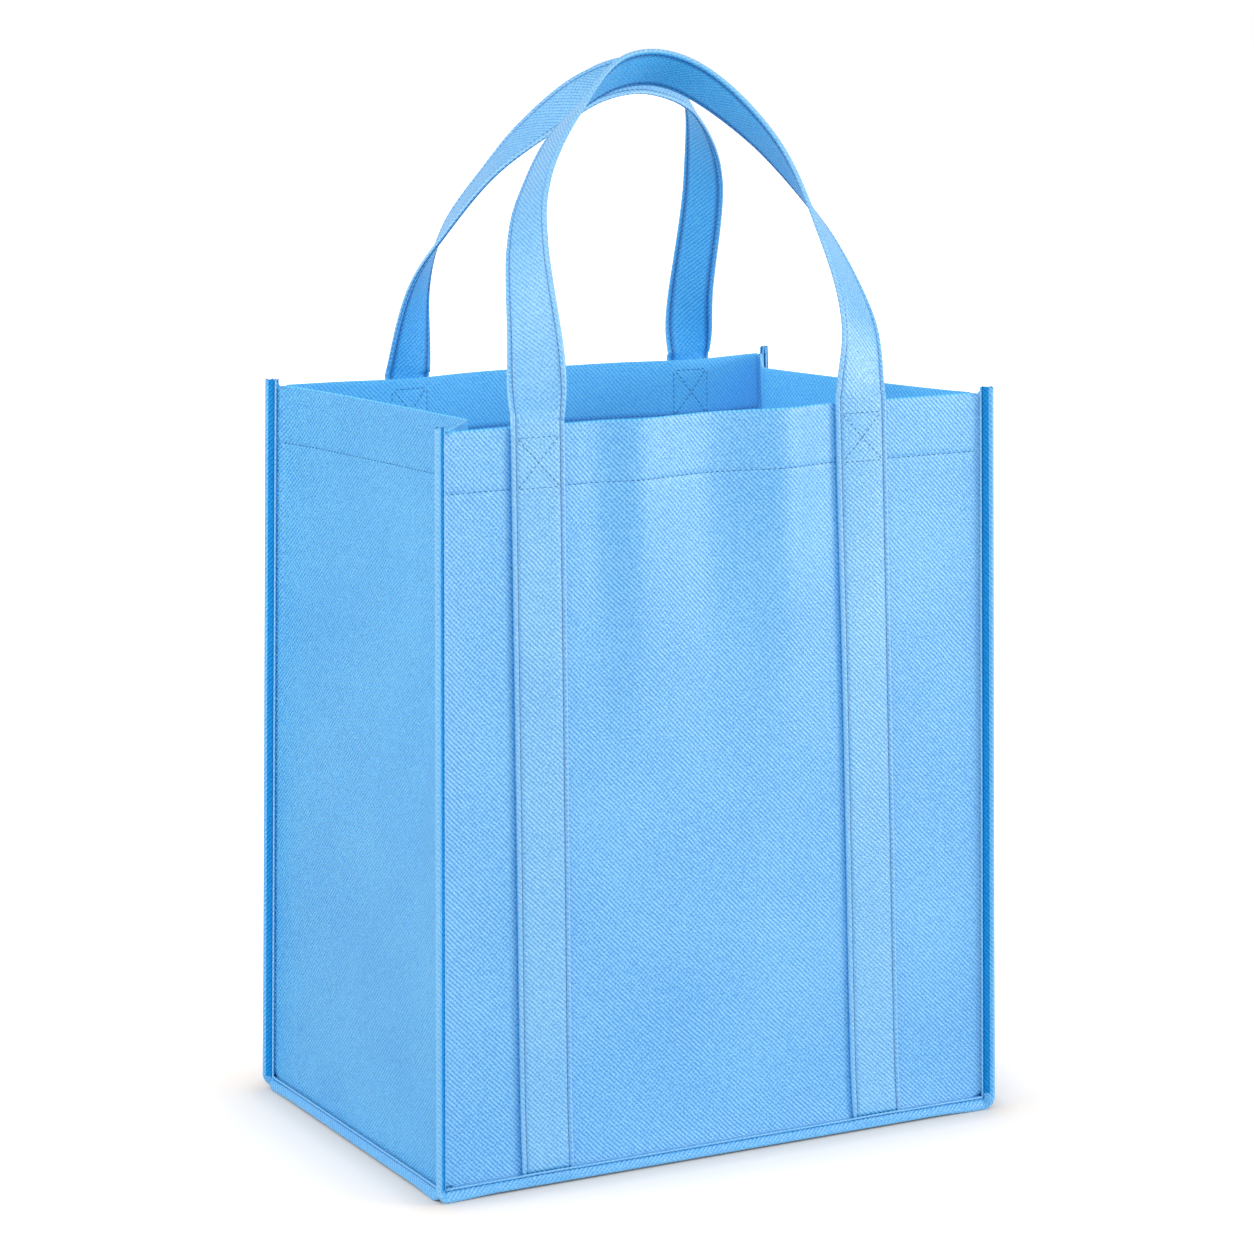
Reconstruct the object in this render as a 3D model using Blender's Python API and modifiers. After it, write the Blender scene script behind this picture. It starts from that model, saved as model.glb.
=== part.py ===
"""Open shopping tote of embossed polypropylene cloth.

Five cut sheets are sewn into an open box. Their seam allowances stand out at
the corners and along the base, and folded strips bind them. Two long folded
straps run up the front and the back and twist over into carrying loops.

Metres, +Z up, +X across the bag, the front faces -Y. The origin lies on the
ground under the middle of the bag.
"""

import math

import bpy
from mathutils import Vector

# Driving sizes
BASE_WIDTH = 0.313            # between the side seams at the base
FRONT_TOP_WIDTH = 0.302       # between the front seams at the hem
BACK_TOP_WIDTH = 0.291        # between the back seams at the hem
BAG_DEPTH = 0.213             # between the front and back seams
BAG_HEIGHT = 0.380            # ground to the top hem
CLOTH = 0.00045               # thickness of every sheet
CLEARANCE = 0.0003            # air between layers that touch

# Seams and bindings
FIN_REACH = 0.0062            # seam line to the middle of the binding's fold
FIN_PROUD = 0.0035            # how far the corner bindings stand above the hem
BASE_FIN_DROP = 60.0          # degrees that the base fins point below level
BINDING_START = 0.0006        # seam line to the binding's inner edge
BINDING_END_GAP = 0.0018      # side base bindings stop short of the corners
ALLOWANCE_SHORT = 0.0002      # seam allowance stops short of the fold's middle
CORNER_NOTCH = 0.0025         # seam allowances are notched at the corners

# Hems
HEM_DEPTH = 0.030             # depth of the turned-in top edge
HEM_NOTCH = 0.004             # the turned edge stops short of the corners

# Straps
FRONT_STRAP_WIDTH = 0.0285
BACK_STRAP_WIDTH = 0.0255
STRAP_TURN_IN = 0.009         # width of the edge that is folded in between the layers
STRAP_RAW_EDGE = 0.0008       # the inner layer's raw edge lies this far inside the fold
STRAP_PUFF = 0.00035          # how far the folded edges bulge outward
STRAP_GROOVE = 0.0028         # strap edge to its line of stitching
STRAP_FOOT = 0.0015           # strap ends this far above the base seam
STRAP_UPRIGHT = 0.003         # strap stays upright this far above the hem
FRONT_LEFT_TOP = -0.1005      # middle of each strap at the hem
FRONT_LEFT_BASE = -0.0995     # and at the base
FRONT_RIGHT_TOP = 0.0805
FRONT_RIGHT_BASE = 0.0915
BACK_LEFT_TOP = -0.0745
BACK_LEFT_BASE = -0.078
BACK_RIGHT_TOP = 0.0945
BACK_RIGHT_BASE = 0.096
FRONT_LOOP_REACH = 0.0815     # how far the front loop flops towards the bag's middle
FRONT_LOOP_RISE = 0.163       # top of the front loop above the hem
BACK_LOOP_REACH = 0.061
BACK_LOOP_RISE = 0.157

# Slack of the walls
FRONT_BULGE = 0.003           # front wall bows outward between its straps
BACK_BULGE = 0.002
STRAP_PULL_FRONT = 0.001      # each strap pulls its wall inward at the hem
STRAP_PULL_BACK = 0.009
PULL_SPREAD = 0.030           # half width of the dent that a strap makes
SEAM_HOLD = 4.0               # how soon the walls come loose away from their seams
LEFT_GUSSET_FOLD = 0.029      # left wall folds inward, deepest near the front
RIGHT_GUSSET_FOLD = 0.034     # right wall folds inward, deepest near the back
LEFT_CREASE = 0.040           # front seam to the left wall's crease
RIGHT_CREASE = 0.062          # back seam to the right wall's crease
GUSSET_DROP = 0.0015          # the folded edge hangs a little lower
GUSSET_SLACK = 0.8            # under 1 the cloth sags between crease and far seam
FOLD_FADE = 0.10              # the folds die out at this height
SLOPE_STEP = 0.02             # share of a side wall's width over which its slope is taken

# Stiff insert on the bag's floor
BOARD_THICKNESS = 0.002
BOARD_MARGIN = 0.002          # board edge to the walls
BOARD_CORNER = 0.006

# Points of each loop: share of the way from foot to foot, share of the loop's
# reach, share of its rise, and turn of the strap in degrees
FRONT_LOOP = (
    (0.028, 0.129, 0.209, 45),
    (0.067, 0.393, 0.509, 76),
    (0.138, 0.589, 0.681, 96),
    (0.291, 0.816, 0.865, 106),
    (0.502, 1.000, 1.000, 131),
    (0.702, 0.982, 0.975, 118),
    (0.885, 0.736, 0.779, 91),
    (0.983, 0.411, 0.515, 53),
    (1.015, 0.104, 0.252, 26),
)
BACK_LOOP = (
    (0.048, 0.123, 0.306, 42),
    (0.114, 0.262, 0.497, 71),
    (0.223, 0.533, 0.694, 82),
    (0.330, 0.746, 0.828, 103),
    (0.493, 0.984, 0.968, 121),
    (0.681, 1.000, 1.000, 137),
    (0.883, 0.754, 0.892, 115),
    (1.002, 0.377, 0.624, 65),
    (0.993, 0.180, 0.223, 47),
)

# Fineness
WALL_ROWS = 9
WALL_COLUMNS = 10
STRIP_STEPS = 2               # columns between a strap and the nearest corner
BASE_STEPS = 4                # stations along each side base binding
BOARD_CORNER_STEPS = 4
FOLD_STEPS = 3                # facets round a hem or a binding's edge
CORNER_STEPS = 4              # facets round a binding's corner
LOOP_STEPS = 3                # stations between two points of a loop

# Derived sizes
LAYER = CLOTH + CLEARANCE                         # pitch of stacked sheets
ALLOWANCE_OFFSET = LAYER / 2                      # allowance to the fin's middle
BINDING_OFFSET = ALLOWANCE_OFFSET + LAYER         # binding to the fin's middle
DIAGONAL = math.sqrt(0.5)
DROP_COS = math.cos(math.radians(BASE_FIN_DROP))
DROP_SIN = math.sin(math.radians(BASE_FIN_DROP))
CORNER_BEND = ALLOWANCE_OFFSET / DIAGONAL         # upright seam to a wall's bend
WALL_BEND = ALLOWANCE_OFFSET / DROP_COS           # base seam up to a wall's bend
FLOOR_BEND = ALLOWANCE_OFFSET / DROP_SIN          # base seam in to the floor's bend
SEAM_HEIGHT = FIN_REACH * DROP_SIN + BINDING_OFFSET + CLOTH / 2
HALF_DEPTH = BAG_DEPTH / 2
SIDES = (-1, 1)                                   # left and right, or front and back

SHEET_BLUE = (0.075, 0.385, 0.87, 1.0)
BINDING_BLUE = (0.060, 0.340, 0.82, 1.0)
STRAP_BLUE = (0.090, 0.420, 0.90, 1.0)
BOARD_GREY = (0.18, 0.20, 0.22, 1.0)


def smooth(value):
    """Ease from 0 to 1."""
    clamped = min(max(value, 0.0), 1.0)
    return clamped * clamped * (3.0 - 2.0 * clamped)


def spread(low, high, steps):
    """Evenly spaced values from low to high, both included."""
    return [low + (high - low) * i / steps for i in range(steps + 1)]


def up_share(z):
    """Share of the way from the base seam to the hem."""
    return (z - SEAM_HEIGHT) / (BAG_HEIGHT - SEAM_HEIGHT)


def half_width(y, z):
    """Half of the bag's width at a depth and height: the mouth is wider in front."""
    back_share = 0.5 + y / BAG_DEPTH
    top = FRONT_TOP_WIDTH + (BACK_TOP_WIDTH - FRONT_TOP_WIDTH) * back_share
    return (BASE_WIDTH + (top - BASE_WIDTH) * up_share(z)) / 2


def corner(side, face, z):
    """Seam point at a corner: side is -1 left or 1 right, face -1 front or 1 back."""
    y = face * HALF_DEPTH
    return Vector((side * half_width(y, z), y, z))


def base_fin(x, y):
    """Where a base fin points, and across it, on the wall that faces along x and y."""
    out = Vector((x * DROP_COS, y * DROP_COS, -DROP_SIN))
    across = Vector((x * DROP_SIN, y * DROP_SIN, DROP_COS))
    return out, across


def slack(z):
    """How loose a wall is at a height: 0 at the base and 1 at the hem."""
    return smooth(up_share(z))


def fold_share(z):
    """How much of a gusset's fold is left at a height."""
    return smooth((z - FOLD_FADE) / (BAG_HEIGHT - FOLD_FADE))


def strap_middle(face, side, z):
    """Sideways place of a strap's middle at a height."""
    top = {(-1, -1): FRONT_LEFT_TOP, (-1, 1): FRONT_RIGHT_TOP,
           (1, -1): BACK_LEFT_TOP, (1, 1): BACK_RIGHT_TOP}[(face, side)]
    base = {(-1, -1): FRONT_LEFT_BASE, (-1, 1): FRONT_RIGHT_BASE,
            (1, -1): BACK_LEFT_BASE, (1, 1): BACK_RIGHT_BASE}[(face, side)]
    return base + (top - base) * up_share(z)


def strap_width(face):
    """Width of the front or back strap."""
    return FRONT_STRAP_WIDTH if face < 0 else BACK_STRAP_WIDTH


def broad_wall_reach(face, x, z):
    """Distance of the front or back wall from the bag's middle plane."""
    bulge = FRONT_BULGE if face < 0 else BACK_BULGE
    pull = STRAP_PULL_FRONT if face < 0 else STRAP_PULL_BACK
    across = x / half_width(face * HALF_DEPTH, z)
    free = max(0.0, 1.0 - across * across)
    dent = 0.0
    for side in SIDES:
        away = (x - strap_middle(face, side, z)) / PULL_SPREAD
        dent += math.exp(-away * away)
    loose = min(1.0, SEAM_HOLD * free)
    return HALF_DEPTH + slack(z) * (bulge * free - pull * dent * loose * slack(z))


def broad_wall(face):
    """Place a point of the front or back wall from its column, height and depth.

    A column counts bays: 0 at the left seam, 1 and 2 at the edges of the left
    strap, 3 and 4 at those of the right strap, and 5 at the right seam.
    """
    reach = strap_width(face) / 2

    def place(column, z, depth):
        half = half_width(face * HALF_DEPTH, z) - CORNER_BEND
        left = strap_middle(face, -1, z)
        right = strap_middle(face, 1, z)
        posts = [-half, left - reach, left + reach, right - reach, right + reach, half]
        bay = min(int(column), len(posts) - 2)
        x = posts[bay] + (posts[bay + 1] - posts[bay]) * (column - bay)
        return Vector((x, face * (broad_wall_reach(face, x, z) - depth), z))
    return place


def wall_heights():
    """Rows of every wall, from the bend at its base to the hem."""
    start = SEAM_HEIGHT + WALL_BEND
    notch = start + CORNER_NOTCH
    return [start] + spread(notch, BAG_HEIGHT - HEM_DEPTH, WALL_ROWS) + [BAG_HEIGHT]


def gusset_fold(side, y):
    """Share of a side wall's inward fold at a depth: steep to its crease, then slack."""
    crease = LEFT_CREASE if side < 0 else RIGHT_CREASE
    from_seam = HALF_DEPTH - side * y
    far = max(0.0, (BAG_DEPTH - from_seam) / (BAG_DEPTH - crease))
    return min(from_seam / crease, far ** GUSSET_SLACK)


def side_wall(side):
    """Place a point of a side wall from share across and height."""
    fold = LEFT_GUSSET_FOLD if side < 0 else RIGHT_GUSSET_FOLD

    def surface(share, z):
        half = HALF_DEPTH - CORNER_BEND
        y = -half + 2 * half * share
        pulled = gusset_fold(side, y) * fold_share(z)
        x = side * (half_width(y, z) - fold * pulled)
        return Vector((x, y, z - GUSSET_DROP * pulled * slack(z)))

    def place(share, z, depth):
        point = surface(share, z)
        if depth == 0.0:
            return point
        ahead = surface(min(share + SLOPE_STEP, 1.0), z)
        behind = surface(max(share - SLOPE_STEP, 0.0), z)
        along = ahead - behind
        inward = Vector((along.y, -along.x, 0.0)).normalized()
        if inward.x * side > 0:
            inward = -inward
        return point + inward * depth
    return place


def material(name, colour, roughness):
    """Plain finish of one sub-part."""
    finish = bpy.data.materials.new(name)
    finish.use_nodes = True
    shader = finish.node_tree.nodes["Principled BSDF"]
    shader.inputs["Base Color"].default_value = colour
    shader.inputs["Roughness"].default_value = roughness
    shader.inputs["Metallic"].default_value = 0.0
    finish.diffuse_color = colour
    return finish


def cloth_object(name, points, faces, finish, collection):
    """Thicken an open surface into one sheet of cloth."""
    mesh = bpy.data.meshes.new(name)
    mesh.from_pydata([tuple(point) for point in points], [], faces)
    mesh.materials.append(finish)
    mesh.validate()
    sheet = bpy.data.objects.new(name, mesh)
    collection.objects.link(sheet)
    solid = sheet.modifiers.new("Thickness", "SOLIDIFY")
    solid.thickness = CLOTH
    solid.offset = 0.0
    solid.use_even_offset = True
    solid.use_quality_normals = True
    return sheet


def grid_cloth(name, place, columns, rows, finish, collection, keep=None):
    """Sheet over a grid of labels, or over the cells of it that keep() accepts."""
    points = []
    index = {}
    faces = []

    def vertex(i, j):
        if (i, j) not in index:
            index[(i, j)] = len(points)
            points.append(place(columns[i], rows[j]))
        return index[(i, j)]

    for i in range(len(columns) - 1):
        for j in range(len(rows) - 1):
            if keep is None or keep(columns[i], columns[i + 1], rows[j], rows[j + 1]):
                near = (vertex(i, j), vertex(i + 1, j))
                far = (vertex(i + 1, j + 1), vertex(i, j + 1))
                faces.append(near + far)
    return cloth_object(name, points, faces, finish, collection)


def wall(name, surface, corners, allowance_side, base_directions, shares, finish, collection):
    """One wall sheet: its face, seam allowances on three edges and the hem turned in."""
    base_out, base_across = base_directions
    reach = FIN_REACH - ALLOWANCE_SHORT
    top = BAG_HEIGHT
    heights = wall_heights()
    start = heights[0]
    turn = LAYER / 2
    hem_rows = []
    for step in range(1, FOLD_STEPS + 1):
        angle = math.pi * step / FOLD_STEPS
        hem_rows.append(("hem", top + turn * math.sin(angle), turn * (1 - math.cos(angle))))
    hem_rows.append(("hem", top - HEM_DEPTH, LAYER))
    columns = ["left"] + shares + ["right"]
    rows = ["base"] + heights + hem_rows

    def place(column, row):
        if column in ("left", "right"):
            side, face = corners[column]
            out = Vector((side, face, 0.0)) * DIAGONAL
            across = Vector((-side, face, 0.0)) * DIAGONAL * allowance_side
            return corner(side, face, row) + out * reach + across * ALLOWANCE_OFFSET
        if row == "base":
            edge = surface(column, start, 0.0)
            edge.z = SEAM_HEIGHT
            return edge + base_out * reach + base_across * ALLOWANCE_OFFSET
        if isinstance(row, tuple):
            return surface(column, row[1], row[2])
        return surface(column, row, 0.0)

    def keep(column, next_column, row, next_row):
        at_side = column == "left" or next_column == "right"
        at_hem = isinstance(next_row, tuple)
        if at_side:
            return row not in ("base", start) and not at_hem
        at_end = column == shares[0] or next_column == shares[-1]
        if row == "base" or at_hem:
            return not at_end
        return True

    return grid_cloth(name, place, columns, rows, finish, collection, keep)


def broad_columns(face):
    """Columns of the front or back wall: under each strap they match its section."""
    width = strap_width(face)
    half = half_width(face * HALF_DEPTH, BAG_HEIGHT)
    left = strap_middle(face, -1, BAG_HEIGHT) - width / 2
    right = strap_middle(face, 1, BAG_HEIGHT) + width / 2
    first = HEM_NOTCH / (half + left)
    last = 5.0 - HEM_NOTCH / (half - right)
    under = [STRAP_GROOVE / width, STRAP_TURN_IN / width]
    under += [1.0 - share for share in reversed(under)]
    columns = [0.0] + spread(first, 1.0, STRIP_STEPS)
    columns += [1.0 + share for share in under] + spread(2.0, 3.0, WALL_COLUMNS // 2)
    columns += [3.0 + share for share in under] + spread(4.0, last, STRIP_STEPS)
    return columns + [5.0]


def side_shares(side):
    """Columns of a side wall, with one on its crease."""
    end = HEM_NOTCH / BAG_DEPTH
    crease = LEFT_CREASE if side < 0 else BAG_DEPTH - RIGHT_CREASE
    middle = crease / BAG_DEPTH
    near = spread(end, middle, WALL_COLUMNS // 2)
    far = spread(middle, 1.0 - end, WALL_COLUMNS // 2)
    return [0.0] + near + far[1:] + [1.0]


def base_panel(finish, collection):
    """Bottom sheet with a seam allowance turned down along each edge."""
    half_x = BASE_WIDTH / 2 - FLOOR_BEND
    half_y = HALF_DEPTH - FLOOR_BEND
    reach = FIN_REACH - ALLOWANCE_SHORT
    xs = [-half_x, -half_x + CORNER_NOTCH, 0.0, half_x - CORNER_NOTCH, half_x]
    ys = [-half_y, -half_y + CORNER_NOTCH, 0.0, half_y - CORNER_NOTCH, half_y]
    columns = ["low"] + xs + ["high"]
    rows = ["low"] + ys + ["high"]
    sign = {"low": -1, "high": 1}

    def edge(label, half_seam):
        side = sign[label]
        out = side * (half_seam + reach * DROP_COS - ALLOWANCE_OFFSET * DROP_SIN)
        down = SEAM_HEIGHT - reach * DROP_SIN - ALLOWANCE_OFFSET * DROP_COS
        return out, down

    def place(column, row):
        if column in sign:
            x, z = edge(column, BASE_WIDTH / 2)
            return Vector((x, row, z))
        if row in sign:
            y, z = edge(row, HALF_DEPTH)
            return Vector((column, y, z))
        return Vector((column, row, SEAM_HEIGHT))

    def keep(column, next_column, row, next_row):
        side_flap = column in sign or next_column in sign
        end_flap = row in sign or next_row in sign
        if side_flap and end_flap:
            return False
        if side_flap:
            return ys[1] <= row and next_row <= ys[-2]
        if end_flap:
            return xs[1] <= column and next_column <= xs[-2]
        return True

    return grid_cloth("bottom_panel", place, columns, rows, finish, collection, keep)


def binding(name, stations, finish, collection):
    """Strip folded in a U over a fin, along seam points with their directions."""
    section = [(BINDING_START, BINDING_OFFSET)]
    for step in range(FOLD_STEPS + 2):
        angle = math.pi * (0.5 - step / (FOLD_STEPS + 1))
        away = FIN_REACH + BINDING_OFFSET * math.cos(angle)
        section.append((away, BINDING_OFFSET * math.sin(angle)))
    section.append((BINDING_START, -BINDING_OFFSET))

    def place(station, point):
        seam, out, across = station
        return seam + out * point[0] + across * point[1]

    return grid_cloth(name, place, stations, section, finish, collection)


def broad_binding_stations(face):
    """Down the left corner, along the base and up the right corner."""
    top = BAG_HEIGHT + FIN_PROUD
    base_out, base_across = base_fin(0.0, face)
    stations = []
    for side in SIDES:
        out = Vector((side, face, 0.0)) * DIAGONAL
        across = Vector((-side, face, 0.0)) * DIAGONAL
        heights = spread(top, SEAM_HEIGHT, WALL_ROWS)
        run = [(corner(side, face, z), out, across) for z in heights]
        for step in range(1, CORNER_STEPS + 1):
            share = step / CORNER_STEPS
            turned = out.lerp(base_out, share).normalized()
            level = across.lerp(base_across, share)
            level = (level - turned * level.dot(turned)).normalized()
            run.append((corner(side, face, SEAM_HEIGHT), turned, level))
        if side > 0:
            run.reverse()
        stations += run
    return stations


def side_binding_stations(side):
    """Along the base of a side wall, short of both corners."""
    out, across = base_fin(side, 0.0)
    half = HALF_DEPTH - BINDING_END_GAP
    x = side * BASE_WIDTH / 2
    return [(Vector((x, y, SEAM_HEIGHT)), out, across) for y in spread(-half, half, BASE_STEPS)]


def strap_section(face):
    """Strap across its width: inner layer, fold, outer layer, fold and turned-in edge."""
    half = strap_width(face) / 2
    outer = 2 * LAYER
    puffed = outer + STRAP_PUFF
    groove = half - STRAP_GROOVE
    turn_in = half - STRAP_TURN_IN
    bend = half - LAYER
    return [
        (STRAP_RAW_EDGE - half, 0.0),
        (-groove, 0.0),
        (-turn_in, 0.0),
        (turn_in, 0.0),
        (groove, 0.0),
        (bend, 0.0),
        (half, LAYER),
        (bend, puffed),
        (groove, outer),
        (-groove, outer),
        (-bend, puffed),
        (-half, outer),
        (-bend, LAYER),
        (-turn_in, LAYER),
    ]


def curve_through(points, steps):
    """Smooth curve through points, each a tuple of numbers."""
    ahead = [2 * a - b for a, b in zip(points[0], points[1])]
    behind = [2 * a - b for a, b in zip(points[-1], points[-2])]
    ends = [ahead] + [list(point) for point in points] + [behind]
    curve = []
    for k in range(1, len(ends) - 2):
        for step in range(steps):
            t = step / steps
            near = 2 * t ** 3 - 3 * t ** 2 + 1
            leaving = t ** 3 - 2 * t ** 2 + t
            arriving = t ** 3 - t ** 2
            station = []
            for a, b, c, d in zip(ends[k - 1], ends[k], ends[k + 1], ends[k + 2]):
                on_line = b * near + c * (1.0 - near)
                station.append(on_line + (c - a) / 2 * leaving + (d - b) / 2 * arriving)
            curve.append(station)
    curve.append(list(points[-1]))
    return curve


def strap_on_wall(face, side, z):
    """Place points of a strap's section flat on its wall at a height."""
    middle = strap_middle(face, side, z)
    level = min(z, BAG_HEIGHT)

    def place(across, out):
        x = middle - side * across
        return Vector((x, face * (broad_wall_reach(face, x, level) + LAYER + out), z))
    return place


def strap_in_air(face, before, here, after):
    """Place points of a strap's section at a station of its loop."""
    middle = Vector(here[:3])
    along = (Vector(after[:3]) - Vector(before[:3])).normalized()
    inward = Vector((0.0, -face, 0.0))
    inward = (inward - along * inward.dot(along)).normalized()
    beside = along.cross(inward) * face
    angle = math.radians(here[3])
    width = beside * math.cos(angle) - inward * math.sin(angle)
    outward = along.cross(width) * face

    def place(across, out):
        return middle + width * across + outward * out
    return place


def strap_stations(face):
    """A placing function for every station along one strap."""
    loop = FRONT_LOOP if face < 0 else BACK_LOOP
    loop_reach = FRONT_LOOP_REACH if face < 0 else BACK_LOOP_REACH
    loop_rise = FRONT_LOOP_RISE if face < 0 else BACK_LOOP_RISE
    upright = BAG_HEIGHT + STRAP_UPRIGHT
    foot = SEAM_HEIGHT + STRAP_FOOT
    heights = [foot] + wall_heights()[1:] + [upright]
    left = strap_on_wall(face, -1, upright)(0.0, 0.0)
    right = strap_on_wall(face, 1, upright)(0.0, 0.0)
    route = [(left.x, left.y, left.z, 0.0)]
    for share, reached, risen, turn in loop:
        x = left.x + (right.x - left.x) * share
        y = face * (HALF_DEPTH - loop_reach * reached)
        route.append((x, y, BAG_HEIGHT + loop_rise * risen, turn))
    route.append((right.x, right.y, right.z, 0.0))
    curve = curve_through(route, LOOP_STEPS)
    air = [strap_in_air(face, *curve[k - 1:k + 2]) for k in range(1, len(curve) - 1)]
    going_up = [strap_on_wall(face, -1, z) for z in heights]
    coming_down = [strap_on_wall(face, 1, z) for z in reversed(heights)]
    return going_up + air + coming_down


def strap(name, face, finish, collection):
    """One long folded strap, sewn up a wall, over the loop and down again."""
    def place(station, point):
        return station(*point)

    return grid_cloth(name, place, strap_stations(face), strap_section(face), finish, collection)


def base_board(finish, collection):
    """Stiff insert that keeps the floor flat."""
    width = BASE_WIDTH - 2 * BOARD_MARGIN
    depth = BAG_DEPTH - 2 * BOARD_MARGIN
    low = SEAM_HEIGHT + CLOTH / 2 + CLEARANCE
    bpy.ops.mesh.primitive_cube_add(size=1.0, location=(0.0, 0.0, low + BOARD_THICKNESS / 2))
    board = bpy.context.object
    board.name = "base_board"
    board.data.name = "base_board"
    board.scale = (width, depth, BOARD_THICKNESS)
    bpy.ops.object.transform_apply(location=False, rotation=False, scale=True)
    weights = board.data.attributes.new("bevel_weight_edge", "FLOAT", "EDGE")
    for edge in board.data.edges:
        ends = [board.data.vertices[v].co for v in edge.vertices]
        upright = abs(ends[0].z - ends[1].z) > BOARD_THICKNESS / 2
        weights.data[edge.index].value = 1.0 if upright else 0.0
    rounded = board.modifiers.new("Rounded corners", "BEVEL")
    rounded.limit_method = "WEIGHT"
    rounded.width = BOARD_CORNER
    rounded.segments = BOARD_CORNER_STEPS
    board.data.materials.append(finish)
    for owner in board.users_collection:
        owner.objects.unlink(board)
    collection.objects.link(board)
    return board


def build():
    """Clear the scene and make the whole bag."""
    for old in list(bpy.data.objects):
        bpy.data.objects.remove(old, do_unlink=True)
    collection = bpy.data.collections.new("shopping_tote")
    bpy.context.scene.collection.children.link(collection)

    sheet = material("embossed_sheet", SHEET_BLUE, 0.62)
    trim = material("binding_strip", BINDING_BLUE, 0.62)
    webbing = material("folded_strap", STRAP_BLUE, 0.62)
    board = material("stiff_board", BOARD_GREY, 0.7)

    for name, face in (("front_panel", -1), ("back_panel", 1)):
        corners = {"left": (-1, face), "right": (1, face)}
        down = base_fin(0.0, face)
        columns = broad_columns(face)
        wall(name, broad_wall(face), corners, 1, down, columns, sheet, collection)
    for name, side in (("left_side_panel", -1), ("right_side_panel", 1)):
        corners = {"left": (side, -1), "right": (side, 1)}
        down = base_fin(side, 0.0)
        columns = side_shares(side)
        wall(name, side_wall(side), corners, -1, down, columns, sheet, collection)
    base_panel(sheet, collection)

    binding("front_binding", broad_binding_stations(-1), trim, collection)
    binding("back_binding", broad_binding_stations(1), trim, collection)
    binding("left_base_binding", side_binding_stations(-1), trim, collection)
    binding("right_base_binding", side_binding_stations(1), trim, collection)

    strap("front_handle", -1, webbing, collection)
    strap("back_handle", 1, webbing, collection)
    base_board(board, collection)


build()
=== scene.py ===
"""The shopping tote's looks: embossed cloth, sewn edges, thread, light and camera.

Every sheet of the bag is built again here with its real layers, finely enough to
bend, crease and pucker, and stands for the plain solid of the same place.
"""

import math
from functools import partial

import bpy
import numpy as np
from mathutils import Matrix


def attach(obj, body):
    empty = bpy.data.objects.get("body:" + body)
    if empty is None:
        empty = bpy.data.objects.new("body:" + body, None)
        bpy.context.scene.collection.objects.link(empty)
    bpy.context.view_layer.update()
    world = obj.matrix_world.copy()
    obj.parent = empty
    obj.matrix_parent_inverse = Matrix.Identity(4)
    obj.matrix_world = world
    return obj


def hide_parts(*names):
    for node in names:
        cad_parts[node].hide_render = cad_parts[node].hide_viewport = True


# Sizes shared with the solids, in metres: -1 is the front or left, 1 the back or right
BASE_WIDTH = 0.313            # between the side seams at the base
TOP_WIDTH = {-1: 0.302, 1: 0.291}
BAG_DEPTH = 0.213             # between the front and back seams
BAG_HEIGHT = 0.380            # ground to the top hem
CLOTH = 0.00045               # thickness of every sheet
CLEARANCE = 0.0003            # air between layers that touch
FIN_REACH = 0.0062            # seam line to the middle of the binding's fold
FIN_PROUD = 0.0035            # corner bindings stand this far above the hem
BASE_FIN_DROP = 60.0          # degrees that the base fins point below level
BINDING_START = 0.0006        # seam line to the binding's inner edge
ALLOWANCE_SHORT = 0.0002      # seam allowance stops short of the fold's middle
HEM_DEPTH = 0.030             # depth of the turned-in top edge
HEM_NOTCH = 0.004             # the turned edge stops short of the corners
STRAP_WIDTH = {-1: 0.0285, 1: 0.0255}
FLAP = 0.009                  # strap edge that is turned in between its layers
STRAP_UPRIGHT = 0.003         # strap stays upright this far above the hem
STRAP_TOPS = {(-1, -1): -0.1005, (-1, 1): 0.0805, (1, -1): -0.0745, (1, 1): 0.0945}
STRAP_BASES = {(-1, -1): -0.0995, (-1, 1): 0.0915, (1, -1): -0.078, (1, 1): 0.096}
STRAP_PULL = {-1: 0.001, 1: 0.009}
PULL_SPREAD = 0.030           # half width of the dent that a strap makes
SEAM_HOLD = 4.0               # how soon the walls come loose away from their seams
GUSSET_FOLD = {-1: 0.029, 1: 0.034}
CREASE = {-1: 0.040, 1: 0.062}
GUSSET_SLACK = 0.8            # under 1 the cloth sags between crease and far seam
FOLD_FADE = 0.10              # the folds die out at this height
BOARD_THICKNESS = 0.002
BOARD_MARGIN = 0.002          # board edge to the walls
BOARD_CORNER = 0.006

# Sizes that differ a little from the solids
BINDING_END_GAP = -0.0026     # side base bindings run on past the corners' seams
CORNER_NOTCH = 0.0006         # seam allowances are notched at the corners
STRAP_FOOT = 0.0004           # strap ends this far above the base seam
STRAP_STITCH = 0.0025         # strap edge to its stitching
STRAP_PUFF = 0.00050          # folded edges stand proud of the stitching
BULGE = {-1: 0.0026, 1: 0.003}
GUSSET_DROP = 0.0002          # the folded edge hangs a little lower

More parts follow.
